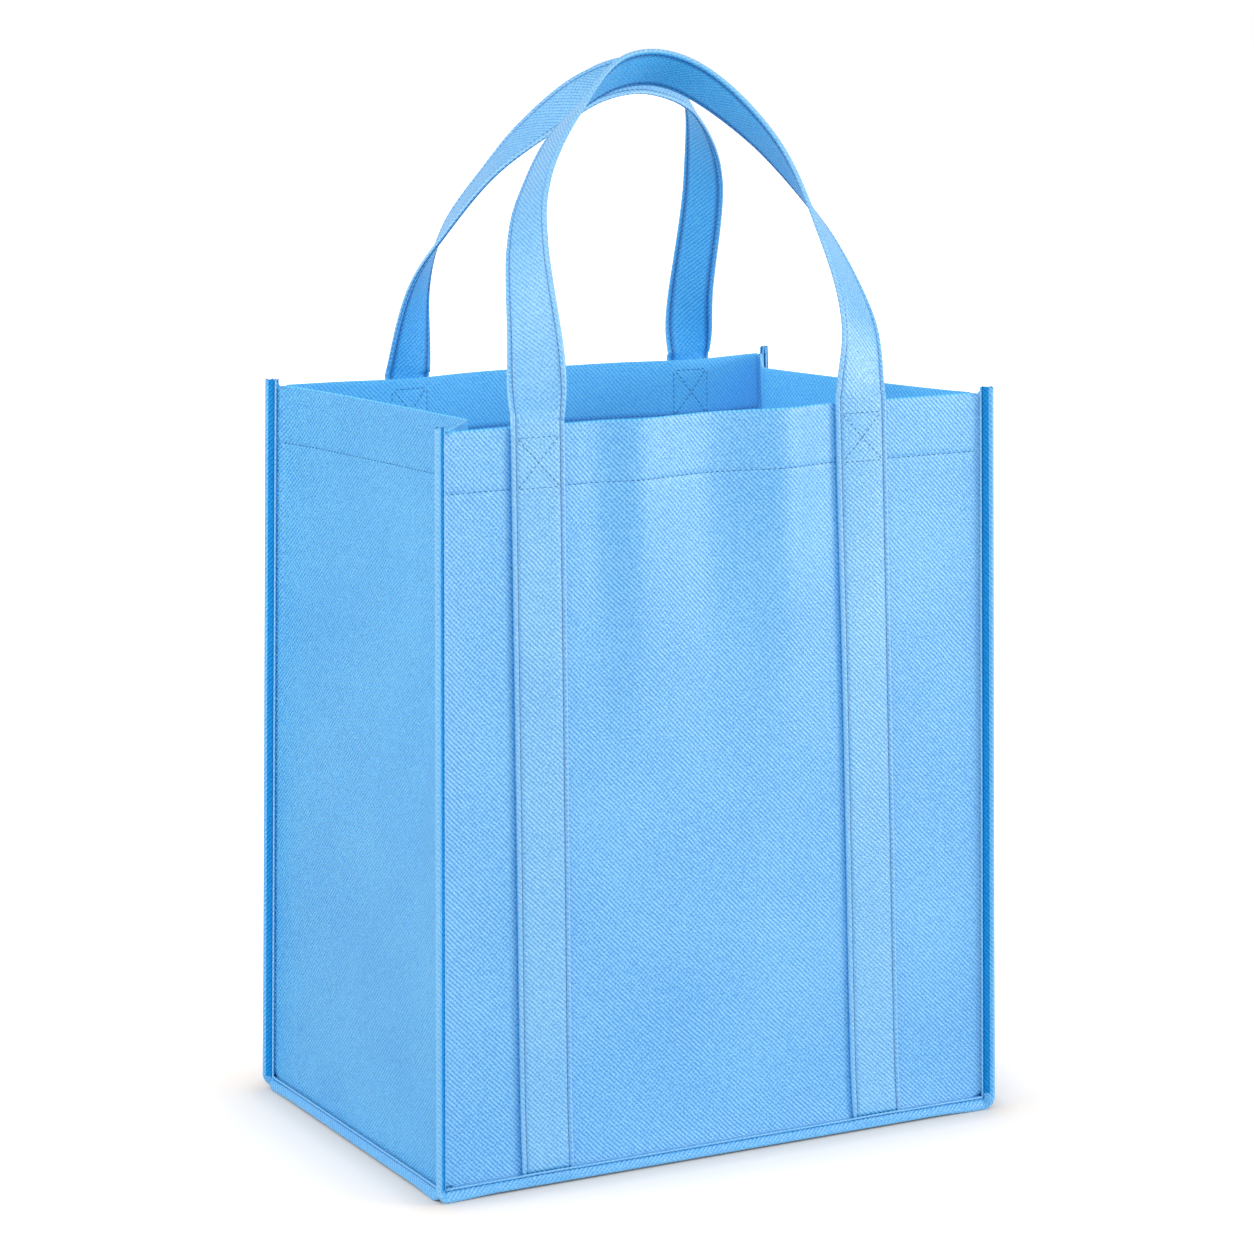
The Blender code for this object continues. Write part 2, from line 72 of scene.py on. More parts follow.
# Loops of the straps: share from foot to foot, reach inward, rise above the hem, degrees of turn
LOOPS = {
    -1: (
        (0.028, 0.0105, 0.034, 45),
        (0.067, 0.0320, 0.083, 76),
        (0.138, 0.0480, 0.111, 96),
        (0.291, 0.0665, 0.141, 106),
        (0.502, 0.0815, 0.163, 131),
        (0.702, 0.0800, 0.159, 118),
        (0.885, 0.0600, 0.127, 91),
        (0.983, 0.0335, 0.084, 53),
        (1.015, 0.0085, 0.041, 26),
    ),
    1: (
        (0.048, 0.0075, 0.048, 42),
        (0.114, 0.0160, 0.078, 71),
        (0.223, 0.0325, 0.109, 82),
        (0.330, 0.0455, 0.130, 103),
        (0.493, 0.0600, 0.152, 121),
        (0.681, 0.0610, 0.157, 137),
        (0.883, 0.0460, 0.140, 115),
        (1.002, 0.0230, 0.098, 65),
        (0.993, 0.0110, 0.035, 47),
    ),
}

# Finer detail that only shows here
FOOT_PRESS = 0.38             # share of a strap's thickness that is squeezed out at its foot
FOOT_LENGTH = 0.006           # and over this height
FOOT_SWELL = 0.0011           # base bindings swell over the straps' ends
SWELL_MARGIN = 0.001
SWELL_STEEPNESS = 8
STITCH_DIP = 0.00034          # stitching presses the cloth in
DIP_WIDTH = 0.0009
PUCKER_HEIGHT = 0.00012       # gathers beside the hem's stitching
PUCKER_SPREAD = 0.006
PUCKER_PITCHES = (0.011, 0.037)
RIPPLE_HEIGHT = 0.00008       # ripples along the bindings
RIPPLE_PITCHES = (0.0061, 0.023)
SEAM_FLARE = 0.0020           # walls curl outward to their upright seams
FLARE_SPREAD = 0.016
CREASE_ROUND = 0.012          # softness of a side wall's crease, as a share of its fold
CORNER_EASE = 0.004           # the fold starts over this length beside a seam
RAW_EDGE = 0.0005             # raw tops of the allowances wander this far
RAW_TOP = 0.9                 # and reach this share of the bindings' height above the hem
CUT_END = (-0.0005, 0.0004)   # cut ends of the bindings wander between these
HEM_MARGIN = 0.0004           # hem's stitching to its raw edge
BINDING_STITCH = 0.0019       # seam line to the binding's stitching
PIPE_WIDTH = 0.0007           # raised inner edge of a binding
FOLD_WIDTH = 0.0006           # and its outer fold
UPRIGHT_START = 0.002         # height above the base seam where the corner bindings begin
END_TAPER = 0.004             # side bindings draw in over this length at their ends
END_DRAW = 0.45
FLOOR_DRAW = 0.13             # between the corners base bindings bow up off the floor
DRAW_LENGTH = 0.030
STITCH_PITCH = 0.0030
STITCH_LENGTH = 0.0026
STITCH_MARGIN = 0.002         # edge stitching stops short of a strap's ends
FOOT_MARGIN = 0.004           # and on the wall's inside, of the base seam
THREAD_RADIUS = 0.00018
BOX_TOP = 0.0050              # top of each crossed box of stitching under the hem
BOX_INSET = 0.0006            # box to the edge stitching
GRID = 0.003                  # spacing of the walls' points
FINE_GRID = 0.0022            # spacing along straps and bindings
FLOOR_GRID = 0.006
ROW_GAP = 0.002               # walls' rows to the finer rows beside the hem's stitching
STITCH_ROWS = (-0.0036, -0.0018, -0.0009, -0.00045, 0.0, 0.00045, 0.0009, 0.0018, 0.0036)
TINY = 1e-6

# Slow waves of the front and back walls: middle x and z, spread in x and z, height
WAVES = {
    -1: (
        (-0.066, 0.355, 0.011, 0.085, -0.0014),
        (-0.046, 0.350, 0.013, 0.085, 0.0030),
        (-0.004, 0.345, 0.019, 0.090, -0.0038),
        (0.037, 0.345, 0.014, 0.090, 0.0032),
        (0.064, 0.350, 0.012, 0.080, -0.0016),
    ),
    1: (
        (-0.020, 0.330, 0.030, 0.050, 0.0010),
        (0.035, 0.310, 0.030, 0.060, -0.0008),
    ),
}

# Finish of the cloth
EMBOSS_PITCH = 0.00185        # spacing of the embossed ridges
WANDER_SCALE = 60.0           # the ridges wander slowly
WANDER_REACH = 0.0016
PATCH_SCALE = 38.0            # and change their strength in patches
GRAIN_SCALE = 1000.0          # grain of the fibres
GRAIN = 0.80
CLOUD_SCALE = 14.0            # slow and fine unevenness of the colour
CLOUD_DEPTH = 0.10
MOTTLE_SCALE = 260.0
MOTTLE_DEPTH = 0.12
CLOTH_ROUGHNESS = 0.42
# Colour of a painted glow: emission that stands in for daylight shining into the thin cloth
PAINTED_GLOW_COLOUR = (0.34, 0.85, 1.0)
# Tones of copies of the one cloth. The whiter light tone of the front and back is painted sheen beside
# the side walls' copy. The inside and strap-underside copies are bluer, with lighter dark tones, as
# painted bounced light in shade.
BROAD_LIGHT = (0.190, 0.610, 1.0)
BROAD_DARK = (0.005, 0.290, 0.80)
SIDE_LIGHT = (0.140, 0.600, 1.0)
SIDE_DARK = (0.005, 0.300, 0.84)
INSIDE_LIGHT = (0.140, 0.610, 0.98)
INSIDE_DARK = (0.020, 0.380, 0.86)
STRAP_LIGHT = (0.200, 0.610, 0.97)
STRAP_DARK = (0.010, 0.310, 0.79)
UNDER_LIGHT = (0.110, 0.560, 0.98)
UNDER_DARK = (0.015, 0.370, 0.88)
BAND_LIGHT = (0.120, 0.550, 0.97)
BAND_DARK = (0.010, 0.320, 0.82)
# Darker copy of the binding cloth for the upright corner bindings: painted shade
FIN_SHADED_LIGHT = (0.015, 0.350, 0.82)
FIN_SHADED_DARK = (0.002, 0.200, 0.62)
THREAD_BLUE = (0.005, 0.090, 0.30)
BOARD_BLUE = (0.06, 0.36, 0.80)

# Cloths: light and dark colour, leading and crossing ridge, relief, haze, painted glow standing in for
# daylight shining into them
CLOTHS = {
    "embossed_sheet": (BROAD_LIGHT, BROAD_DARK, 0.90, 0.18, 0.00006, 1.6, 0.0),
    "embossed_side_sheet": (SIDE_LIGHT, SIDE_DARK, 0.75, 0.40, 0.00018, 1.5, 0.0),
    "embossed_sheet_inside": (INSIDE_LIGHT, INSIDE_DARK, 0.90, 0.20, 0.00010, 1.3, 0.11),
    "folded_strap": (STRAP_LIGHT, STRAP_DARK, 0.85, 0.20, 0.00007, 1.7, 0.0),
    "folded_strap_inside": (UNDER_LIGHT, UNDER_DARK, 0.85, 0.30, 0.00010, 1.3, 0.02),
    "binding_strip": (BAND_LIGHT, BAND_DARK, 0.90, 0.15, 0.00010, 1.6, 0.0),
    # painted shade: darker copy with less sheen for the upright bindings
    "binding_strip_shaded": (FIN_SHADED_LIGHT, FIN_SHADED_DARK, 0.90, 0.15, 0.00010, 1.12, 0.0),
}

# Painted shade in stitched grooves and painted highlight on folded and piped edges
GROOVE_SHADE_BLUE = (0.002, 0.130, 0.48)
GROOVE_SHADE_SHARE = 0.90
EDGE_HIGHLIGHT_BLUE = (0.34, 0.72, 1.0)
EDGE_HIGHLIGHT_SHARE = 0.60
PAINTED_LINE_HALF_WIDTH = 0.0003            # half width of each painted line of shade and highlight
PIPE_HIGHLIGHT = 0.8
BINDING_FOLD_HIGHLIGHT = 0.5
STRAP_FOLD_HIGHLIGHT = 0.7
STRAP_FOLD_LINE = 0.0004

# Light: lamps by name, place, point they face, size and power
AMBIENT = 0.72
LAMPS = (
    ("key_lamp", (1.84, -1.54, 0.60), (0.0, 0.0, 0.22), 0.8, 18.5),
    ("front_lamp", (-1.3, -1.9, 1.9), (0.0, 0.0, 0.22), 1.2, 11.0),
    ("left_lamp", (-2.3, 0.1, 1.0), (0.0, 0.0, 0.20), 1.4, 14.5),
)

# Floor: it whitens away from the bag in two steps
FLOOR_SIZE = 12.0
FLOOR_WHITE = (0.97, 0.88, 0.80)
GLOW_START = 0.005
GLOW_NEAR = 0.020
GLOW_FAR = 0.20
GLOW_LEVEL = 0.20

# Camera: degrees, and the lens in millimetres
CAMERA_PLACE = (-0.920, -1.763, 0.626)
CAMERA_TURN = -27.64
CAMERA_TILT = 10.55
CAMERA_ROLL = -0.39
CAMERA_LENS = 111.31
CAMERA_SENSOR = 36.0

# Derived sizes
LAYER = CLOTH + CLEARANCE
ALLOWANCE_OFFSET = LAYER / 2
BINDING_OFFSET = ALLOWANCE_OFFSET + LAYER
DIAGONAL = math.sqrt(0.5)
BEND = ALLOWANCE_OFFSET / DIAGONAL
DROP_COS = math.cos(math.radians(BASE_FIN_DROP))
DROP_SIN = math.sin(math.radians(BASE_FIN_DROP))
WALL_BEND = ALLOWANCE_OFFSET / DROP_COS
FLOOR_BEND = ALLOWANCE_OFFSET / DROP_SIN
SEAM_HEIGHT = FIN_REACH * DROP_SIN + BINDING_OFFSET + CLOTH / 2
HALF_DEPTH = BAG_DEPTH / 2
HEM_STITCH = BAG_HEIGHT - HEM_DEPTH + HEM_MARGIN
SIDES = (-1, 1)


def smooth(value):
    """Ease from 0 to 1."""
    clamped = np.clip(value, 0.0, 1.0)
    return clamped * clamped * (3.0 - 2.0 * clamped)


def half_width(z, y):
    """Half of the bag's width at a height and depth: the mouth is wider in front."""
    share = (z - SEAM_HEIGHT) / (BAG_HEIGHT - SEAM_HEIGHT)
    back = 0.5 + y / BAG_DEPTH
    top = TOP_WIDTH[-1] + (TOP_WIDTH[1] - TOP_WIDTH[-1]) * back
    return (BASE_WIDTH + (top - BASE_WIDTH) * share) / 2


def base_directions(x, y):
    """Where a base fin points, and across it, for a wall that faces along x and y."""
    out = np.array([x * DROP_COS, y * DROP_COS, -DROP_SIN])
    across = np.array([x * DROP_SIN, y * DROP_SIN, DROP_COS])
    return out, across


def slack(z):
    """How loose a wall is at a height: 0 at the base and 1 at the hem."""
    return smooth((z - SEAM_HEIGHT) / (BAG_HEIGHT - SEAM_HEIGHT))


def strap_middle(face, side, z):
    """Sideways place of a strap's middle at a height."""
    share = (z - SEAM_HEIGHT) / (BAG_HEIGHT - SEAM_HEIGHT)
    base = STRAP_BASES[(face, side)]
    return base + (STRAP_TOPS[(face, side)] - base) * share


def waves(face, x, z):
    """Slow waves of a broad wall."""
    total = np.zeros(np.broadcast(x, z).shape)
    for middle_x, middle_z, spread_x, spread_z, height in WAVES[face]:
        total = total + height * np.exp(-((x - middle_x) / spread_x) ** 2
                                        - ((z - middle_z) / spread_z) ** 2)
    return total


def broad_reach(face, x, z):
    """Distance of the front or back wall from the bag's middle plane."""
    half = half_width(z, face * HALF_DEPTH)
    across = x / half
    free = np.maximum(0.0, 1.0 - across * across)
    dent = 0.0
    for side in SIDES:
        away = (x - strap_middle(face, side, z)) / PULL_SPREAD
        dent = dent + np.exp(-away * away)
    held = np.minimum(1.0, SEAM_HOLD * free)
    loose = slack(z)
    still = HALF_DEPTH + loose * (BULGE[face] * free - STRAP_PULL[face] * dent * held * loose)
    return still - flare(half - np.abs(x), z) + waves(face, x, z) * held


def flare(from_seam, z):
    """How far a wall lies inside its seams: it curls out to meet them."""
    beside = 1.0 - np.exp(-np.maximum(from_seam, 0.0) / FLARE_SPREAD)
    above = 1.0 - np.exp(-np.maximum(z - SEAM_HEIGHT, 0.0) / FLARE_SPREAD)
    return SEAM_FLARE * beside * above


def bell(value):
    """Bell curve: 1 in the middle, and 0 far from it."""
    return np.exp(-value ** 2)


def ripple(run, pitches, phases):
    """Short waves along a run that swell and fade with longer ones."""
    short = np.sin(run * 2 * math.pi / pitches[0] + phases[0])
    longer = np.sin(run * 2 * math.pi / pitches[1] + phases[1])
    return short * longer


def stitch_dip(distance):
    """Groove pressed in by a row of stitches."""
    return STITCH_DIP * bell(distance / DIP_WIDTH)


def pucker(run, distance, seed):
    """Small gathers beside a row of stitches."""
    fade = bell(distance / PUCKER_SPREAD)
    return PUCKER_HEIGHT * fade * ripple(run, PUCKER_PITCHES, (seed, 2 * seed))


def broad_surface(face, share, z, depth):
    """Point of the front or back wall: share runs from -1 to 1 across it."""
    x = share * (half_width(z, face * HALF_DEPTH) - BEND)
    reach = broad_reach(face, x, z)
    outside = np.where(depth == 0.0, 1.0, -1.0)
    reach = reach - outside * stitch_dip(z - HEM_STITCH) + pucker(x, z - HEM_STITCH, face)
    y = face * (reach - depth)
    return np.stack(np.broadcast_arrays(x, y, z), -1)


def gusset_fold(side, y):
    """Share of a side wall's inward fold at a depth: steep to its crease, then slack."""
    from_seam = HALF_DEPTH - side * y
    far = np.maximum(0.0, (BAG_DEPTH - from_seam) / (BAG_DEPTH - CREASE[side]))
    near_part = from_seam / CREASE[side]
    far_part = far ** GUSSET_SLACK
    gap = near_part - far_part
    softened = np.sqrt(gap * gap + CREASE_ROUND * CREASE_ROUND)
    return 0.5 * (near_part + far_part - softened) + CREASE_ROUND * 0.25


def side_surface(side, share, z, depth):
    """Point of a side wall: share runs from -1 at the front to 1 at the back."""
    fold_share = smooth((z - FOLD_FADE) / (BAG_HEIGHT - FOLD_FADE))

    def middle(y):
        ends = np.minimum(1.0, (HALF_DEPTH - BEND - np.abs(y)) / CORNER_EASE)
        pulled = gusset_fold(side, y) * fold_share * np.maximum(ends, 0.0)
        inward = GUSSET_FOLD[side] * pulled + flare(HALF_DEPTH - np.abs(y), z)
        return side * (half_width(z, y) - inward), pulled

    y = share * (HALF_DEPTH - BEND)
    step = 0.001
    x, pulled = middle(y)
    ahead = middle(y + step)[0]
    behind = middle(y - step)[0]
    slope = (ahead - behind) / (2 * step)
    inside = depth + np.where(depth == 0.0, 1.0, -1.0) * stitch_dip(z - HEM_STITCH)
    inside = inside - pucker(y, z - HEM_STITCH, side * 2)
    length = np.sqrt(1.0 + slope * slope)
    new_x = x - side * inside / length
    new_y = y + side * inside * slope / length
    new_z = z - GUSSET_DROP * pulled * slack(z)
    return np.stack(np.broadcast_arrays(new_x, new_y, new_z), -1)


def add_object(name, data):
    """Object in the scene with its data."""
    made = bpy.data.objects.new(name, data)
    bpy.context.scene.collection.objects.link(made)
    return made


def add_mesh(name, points, faces, materials, smoothed=True):
    """Mesh object in the scene."""
    mesh = bpy.data.meshes.new(name)
    mesh.from_pydata(points, [], faces)
    mesh.polygons.foreach_set("use_smooth", [smoothed] * len(mesh.polygons))
    for material in materials:
        mesh.materials.append(material)
    mesh.update()
    return add_object(name, mesh)


def add_values(mesh, name, kind, field, values):
    """Values on a mesh's points that its material reads."""
    attribute = mesh.attributes.new(name, kind, "POINT")
    attribute.data.foreach_set(field, np.asarray(values, np.float32).ravel())


def add_sheet(name, grid, coords, keep, materials, finish, flip=False, inner=0, painted_shade_highlight=0.0):
    """Sheet of cloth over the kept cells of a grid of points, with its thickness.

    Finish picks each cell's material, flip turns the faces over so that they face
    out, and inner moves the material on the other side of the cloth. The painted
    marks are 1 in a stitched groove, where shade is painted, 0 in flat cloth and
    below 0 on a fold, where a highlight is painted.
    """
    rows, columns = grid.shape[:2]
    index = np.arange(rows * columns).reshape(rows, columns)
    corners = np.stack([index[:-1, :-1], index[:-1, 1:], index[1:, 1:], index[1:, :-1]], -1)
    faces = corners[keep]
    if flip:
        faces = faces[:, ::-1]
    used, renumbered = np.unique(faces, return_inverse=True)
    points = grid.reshape(-1, 3)[used]
    flat = coords.reshape(-1, 3)[used]
    made = add_mesh(name, points.tolist(), renumbered.reshape(-1, 4).tolist(), materials)
    picked = np.broadcast_to(finish, keep.shape)[keep]
    made.data.polygons.foreach_set("material_index", picked.astype(np.int32))
    shade_highlight = np.broadcast_to(painted_shade_highlight, grid.shape[:2]).reshape(-1)[used]
    add_values(made.data, "cloth", "FLOAT_VECTOR", "vector", flat)
    # painted shade in stitched grooves and painted highlight on folds, read by the material
    add_values(made.data, "painted_shade_highlight", "FLOAT", "value", shade_highlight)
    solid = made.modifiers.new("Thickness", "SOLIDIFY")
    solid.thickness = CLOTH
    solid.offset = 0.0
    solid.material_offset = inner
    return made


def spaced(low, high, step):
    """Evenly spaced values from low to high, about a step apart."""
    return np.linspace(low, high, max(2, int(round(abs(high - low) / step)) + 1))


def wall_rows():
    """Heights of a wall's rows, closer together beside the hem's stitching."""
    low = SEAM_HEIGHT + WALL_BEND
    near = HEM_STITCH + np.array(STITCH_ROWS)
    below = spaced(low + CORNER_NOTCH, near[0] - ROW_GAP, GRID)
    above = spaced(near[-1] + ROW_GAP, BAG_HEIGHT, GRID)
    return np.concatenate([[low], below, near, above])


def kept_cells(kinds, shares, notch, flaps):
    """Cells of a wall's grid that are cloth: its corners are notched."""
    first_hem = kinds.index("hem")
    columns = len(shares) + 2 * flaps
    keep = np.zeros((len(kinds) - 1, columns - 1), bool)
    for j, (lower, upper) in enumerate(zip(kinds[:-1], kinds[1:])):
        for i in range(columns - 1):
            if i < flaps or i >= columns - 1 - flaps:
                on_wall = lower == "wall" and j > flaps and (upper == "wall" or j == first_hem - 1)
                keep[j, i] = on_wall or first_hem <= j < first_hem + 2
            elif lower == "base" or upper == "hem":
                from_left = shares[i - flaps] + 1
                from_right = 1 - shares[i - flaps + 1]
                keep[j, i] = min(from_left, from_right) >= notch - TINY
            else:
                keep[j, i] = True
    return keep


def wall(name, surface, corners, allowance_side, base_out, base_across, width, seed, lie, materials):
    """One wall: face, seam allowances at its sides and base, and the hem turned in.

    Lie is -1 where the cloth's pattern runs the other way.
    """
    reach = FIN_REACH - ALLOWANCE_SHORT
    flaps = reach * np.array([1.0, 0.66, 0.33])
    shares = np.linspace(-1.0, 1.0, int(round(width / GRID)) + 1)
    notch = 2 * HEM_NOTCH / width
    shares = np.unique(np.concatenate([shares, [-1 + notch, 1 - notch]]))
    heights = wall_rows()
    turn = LAYER / 2
    arc = np.linspace(0.0, math.pi, 7)[1:]
    turned_down = spaced(BAG_HEIGHT - GRID, BAG_HEIGHT - HEM_DEPTH, GRID)
    hem_z = np.concatenate([BAG_HEIGHT + turn * np.sin(arc), turned_down])
    hem_depth = np.concatenate([turn * (1 - np.cos(arc)), np.full(len(hem_z) - len(arc), LAYER)])
    rows = []
    for out in flaps:
        rows.append(("base", out, 0.0))
    for z in heights:
        rows.append(("wall", z, 0.0))
    for z, depth in zip(hem_z, hem_depth):
        rows.append(("hem", z, depth))
    first_hem = len(flaps) + len(heights)
    columns = len(flaps) * 2 + len(shares)
    grid = np.zeros((len(rows), columns, 3))
    coords = np.zeros((len(rows), columns, 3))
    side_out = {}
    side_across = {}
    for end, (side, face) in corners.items():
        side_out[end] = np.array([side, face, 0.0]) * DIAGONAL
        side_across[end] = np.array([-side, face, 0.0]) * DIAGONAL * allowance_side
    ragged = np.random.RandomState(seed)
    inner = slice(len(flaps), columns - len(flaps))
    for j, (kind, value, depth) in enumerate(rows):
        if kind == "base":
            edge = surface(shares, np.full(len(shares), heights[0]), 0.0)
            edge[:, 2] = SEAM_HEIGHT
            grid[j, inner] = edge + base_out * value + base_across * ALLOWANCE_OFFSET
            height = heights[0]
            along = -value
        else:
            grid[j, inner] = surface(shares, np.full(len(shares), value), depth)
            height = value
            along = value if kind == "wall" else 2 * BAG_HEIGHT - value
        if kind == "hem":
            step = j - first_hem
            height = BAG_HEIGHT + FIN_PROUD * min(1.0, (step + 1) / 3) * RAW_TOP
        coords[j, :, 1] = along
        coords[j, inner, 0] = shares * width / 2
        for end, (side, face) in corners.items():
            seam = np.array([side * half_width(height, face * HALF_DEPTH), face * HALF_DEPTH, height])
            for k, out in enumerate(flaps):
                column = k if end == "left" else columns - 1 - k
                wobble = ragged.uniform(-RAW_EDGE, RAW_EDGE) if kind == "hem" else 0.0
                grid[j, column] = seam + side_out[end] * out + side_across[end] * ALLOWANCE_OFFSET
                grid[j, column, 2] += wobble
                sign = -1 if end == "left" else 1
                coords[j, column, 0] = sign * (width / 2 + out)
    coords[..., 0] *= lie
    coords[..., 2] = seed
    kinds = [kind for kind, value, depth in rows]
    keep = kept_cells(kinds, shares, notch, len(flaps))
    turned_in = np.array([kind == "hem" for kind in kinds[1:]])[:, None]
    flip = allowance_side * corners["left"][1 if allowance_side > 0 else 0] > 0
    return add_sheet(name, grid, coords, keep, materials, turned_in, flip, 1)


def bottom(seed, materials):
    """Bottom sheet with a seam allowance turned down along each edge."""
    half_x = BASE_WIDTH / 2 - FLOOR_BEND
    half_y = HALF_DEPTH - FLOOR_BEND
    reach = FIN_REACH - ALLOWANCE_SHORT
    drop = reach * DROP_SIN + ALLOWANCE_OFFSET * DROP_COS
    out = reach * DROP_COS - ALLOWANCE_OFFSET * DROP_SIN + FLOOR_BEND

    def axis(half):
        inner = spaced(-half + CORNER_NOTCH, half - CORNER_NOTCH, FLOOR_GRID)
        inner = np.concatenate([[-half], inner, [half]])
        return np.concatenate([[-half - out], inner, [half + out]])

    xs = axis(half_x)
    ys = axis(half_y)
    grid = np.zeros((len(ys), len(xs), 3))
    grid[..., 0] = xs[None, :]
    grid[..., 1] = ys[:, None]
    grid[..., 2] = SEAM_HEIGHT
    grid[0, :, 2] -= drop
    grid[-1, :, 2] -= drop
    grid[:, 0, 2] = SEAM_HEIGHT - drop
    grid[:, -1, 2] = SEAM_HEIGHT - drop
    coords = grid.copy()
    coords[..., 2] = seed
    keep = np.ones((len(ys) - 1, len(xs) - 1), bool)
    keep[0, :2] = keep[0, -2:] = keep[-1, :2] = keep[-1, -2:] = False
    keep[:2, 0] = keep[-2:, 0] = keep[:2, -1] = keep[-2:, -1] = False
    return add_sheet("bottom_cloth", grid, coords, keep, materials, 0)


def unit(vectors):
    """Vectors of length one."""
    return vectors / np.linalg.norm(vectors, axis=-1, keepdims=True)


def fin_section():
    """Half of a binding's section from its inner edge to the fold: reach, offset."""
    half = [
        (BINDING_START, BINDING_OFFSET + 0.00006),
        (BINDING_START + 0.0002, BINDING_OFFSET + 0.00044),
        (BINDING_START + 0.0005, BINDING_OFFSET + 0.00056),
        (BINDING_START + 0.0008, BINDING_OFFSET + 0.00042),
        (BINDING_STITCH - 0.0003, BINDING_OFFSET - 0.00004),
        (BINDING_STITCH, BINDING_OFFSET - 0.00024),
        (BINDING_STITCH + 0.0004, BINDING_OFFSET),
        (BINDING_STITCH + 0.0010, BINDING_OFFSET + 0.00020),
        (BINDING_STITCH + 0.0022, BINDING_OFFSET + 0.00022),
        (FIN_REACH - 0.0010, BINDING_OFFSET + 0.00012),
    ]
    fold = [(FIN_REACH + BINDING_OFFSET * math.cos(a), BINDING_OFFSET * math.sin(a))
            for a in np.linspace(math.pi / 2, 0.0, 5)]
    whole = half + fold
    return np.array(whole + [(reach, -offset) for reach, offset in reversed(whole[:-1])])


def broad_binding_route(face):
    """Seam points and directions down one corner, along the base and up the other."""
    top = BAG_HEIGHT + FIN_PROUD
    base_out, base_across = base_directions(0.0, face)
    seams, outs, acrosses = [], [], []
    for side in SIDES:
        out = np.array([side, face, 0.0]) * DIAGONAL
        across = np.array([-side, face, 0.0]) * DIAGONAL
        run = [((side * half_width(z, face * HALF_DEPTH), face * HALF_DEPTH, z), out, across)
               for z in spaced(top, SEAM_HEIGHT, FINE_GRID)]
        foot = (side * BASE_WIDTH / 2, face * HALF_DEPTH, SEAM_HEIGHT)
        for share in np.linspace(0.0, 1.0, 13)[1:]:
            turned = out + (base_out - out) * share
            turned = turned / np.linalg.norm(turned)
            level = across + (base_across - across) * share
            level = level - turned * np.dot(level, turned)
            run.append((foot, turned, level / np.linalg.norm(level)))
        if side > 0:
            run.reverse()
            low = BASE_WIDTH / 2
            for x in spaced(-low, low, FINE_GRID)[1:-1]:
                seams.append((x, face * HALF_DEPTH, SEAM_HEIGHT))
                outs.append(base_out)
                acrosses.append(base_across)
        for seam, turned, level in run:
            seams.append(seam)
            outs.append(turned)
            acrosses.append(level)
    return np.array(seams), np.array(outs), np.array(acrosses)


def side_binding_route(side):
    """Seam points and directions along the base of a side wall."""
    half = HALF_DEPTH - BINDING_END_GAP
    ys = spaced(-half, half, FINE_GRID)
    x = side * BASE_WIDTH / 2
    seams = np.stack([np.full(len(ys), x), ys, np.full(len(ys), SEAM_HEIGHT)], -1)
    out, across = base_directions(side, 0.0)
    return seams, np.tile(out, (len(ys), 1)), np.tile(across, (len(ys), 1))


def run_length(points):
    """Distance along a line of points."""
    steps = np.linalg.norm(np.diff(points, axis=0), axis=1)
    return np.concatenate([[0.0], np.cumsum(steps)])


def foot_swell(face, seams):
    """Swelling of a base binding at each station, where it lies over a strap's end."""
    swell = np.zeros(len(seams))
    for side in SIDES:
        away = (seams[:, 0] - STRAP_BASES[(face, side)]) / (STRAP_WIDTH[face] / 2 + SWELL_MARGIN)
        swell += np.exp(-away ** SWELL_STEEPNESS)
    return FOOT_SWELL * swell * (seams[:, 2] <= SEAM_HEIGHT + TINY)


def drawn_in(seams):
    """Share by which base bindings draw in: clear of the floor, and behind the corners."""
    if np.ptp(seams[:, 0]) > TINY:
        from_corner = BASE_WIDTH / 2 - np.abs(seams[:, 0])
        return FLOOR_DRAW * smooth(from_corner / DRAW_LENGTH) * (seams[:, 2] <= SEAM_HEIGHT + TINY)
    from_corner = HALF_DEPTH - np.abs(seams[:, 1])
    behind = smooth((END_TAPER - from_corner) / (END_TAPER - BINDING_END_GAP))
    return FLOOR_DRAW * smooth(from_corner / DRAW_LENGTH) + END_DRAW * behind


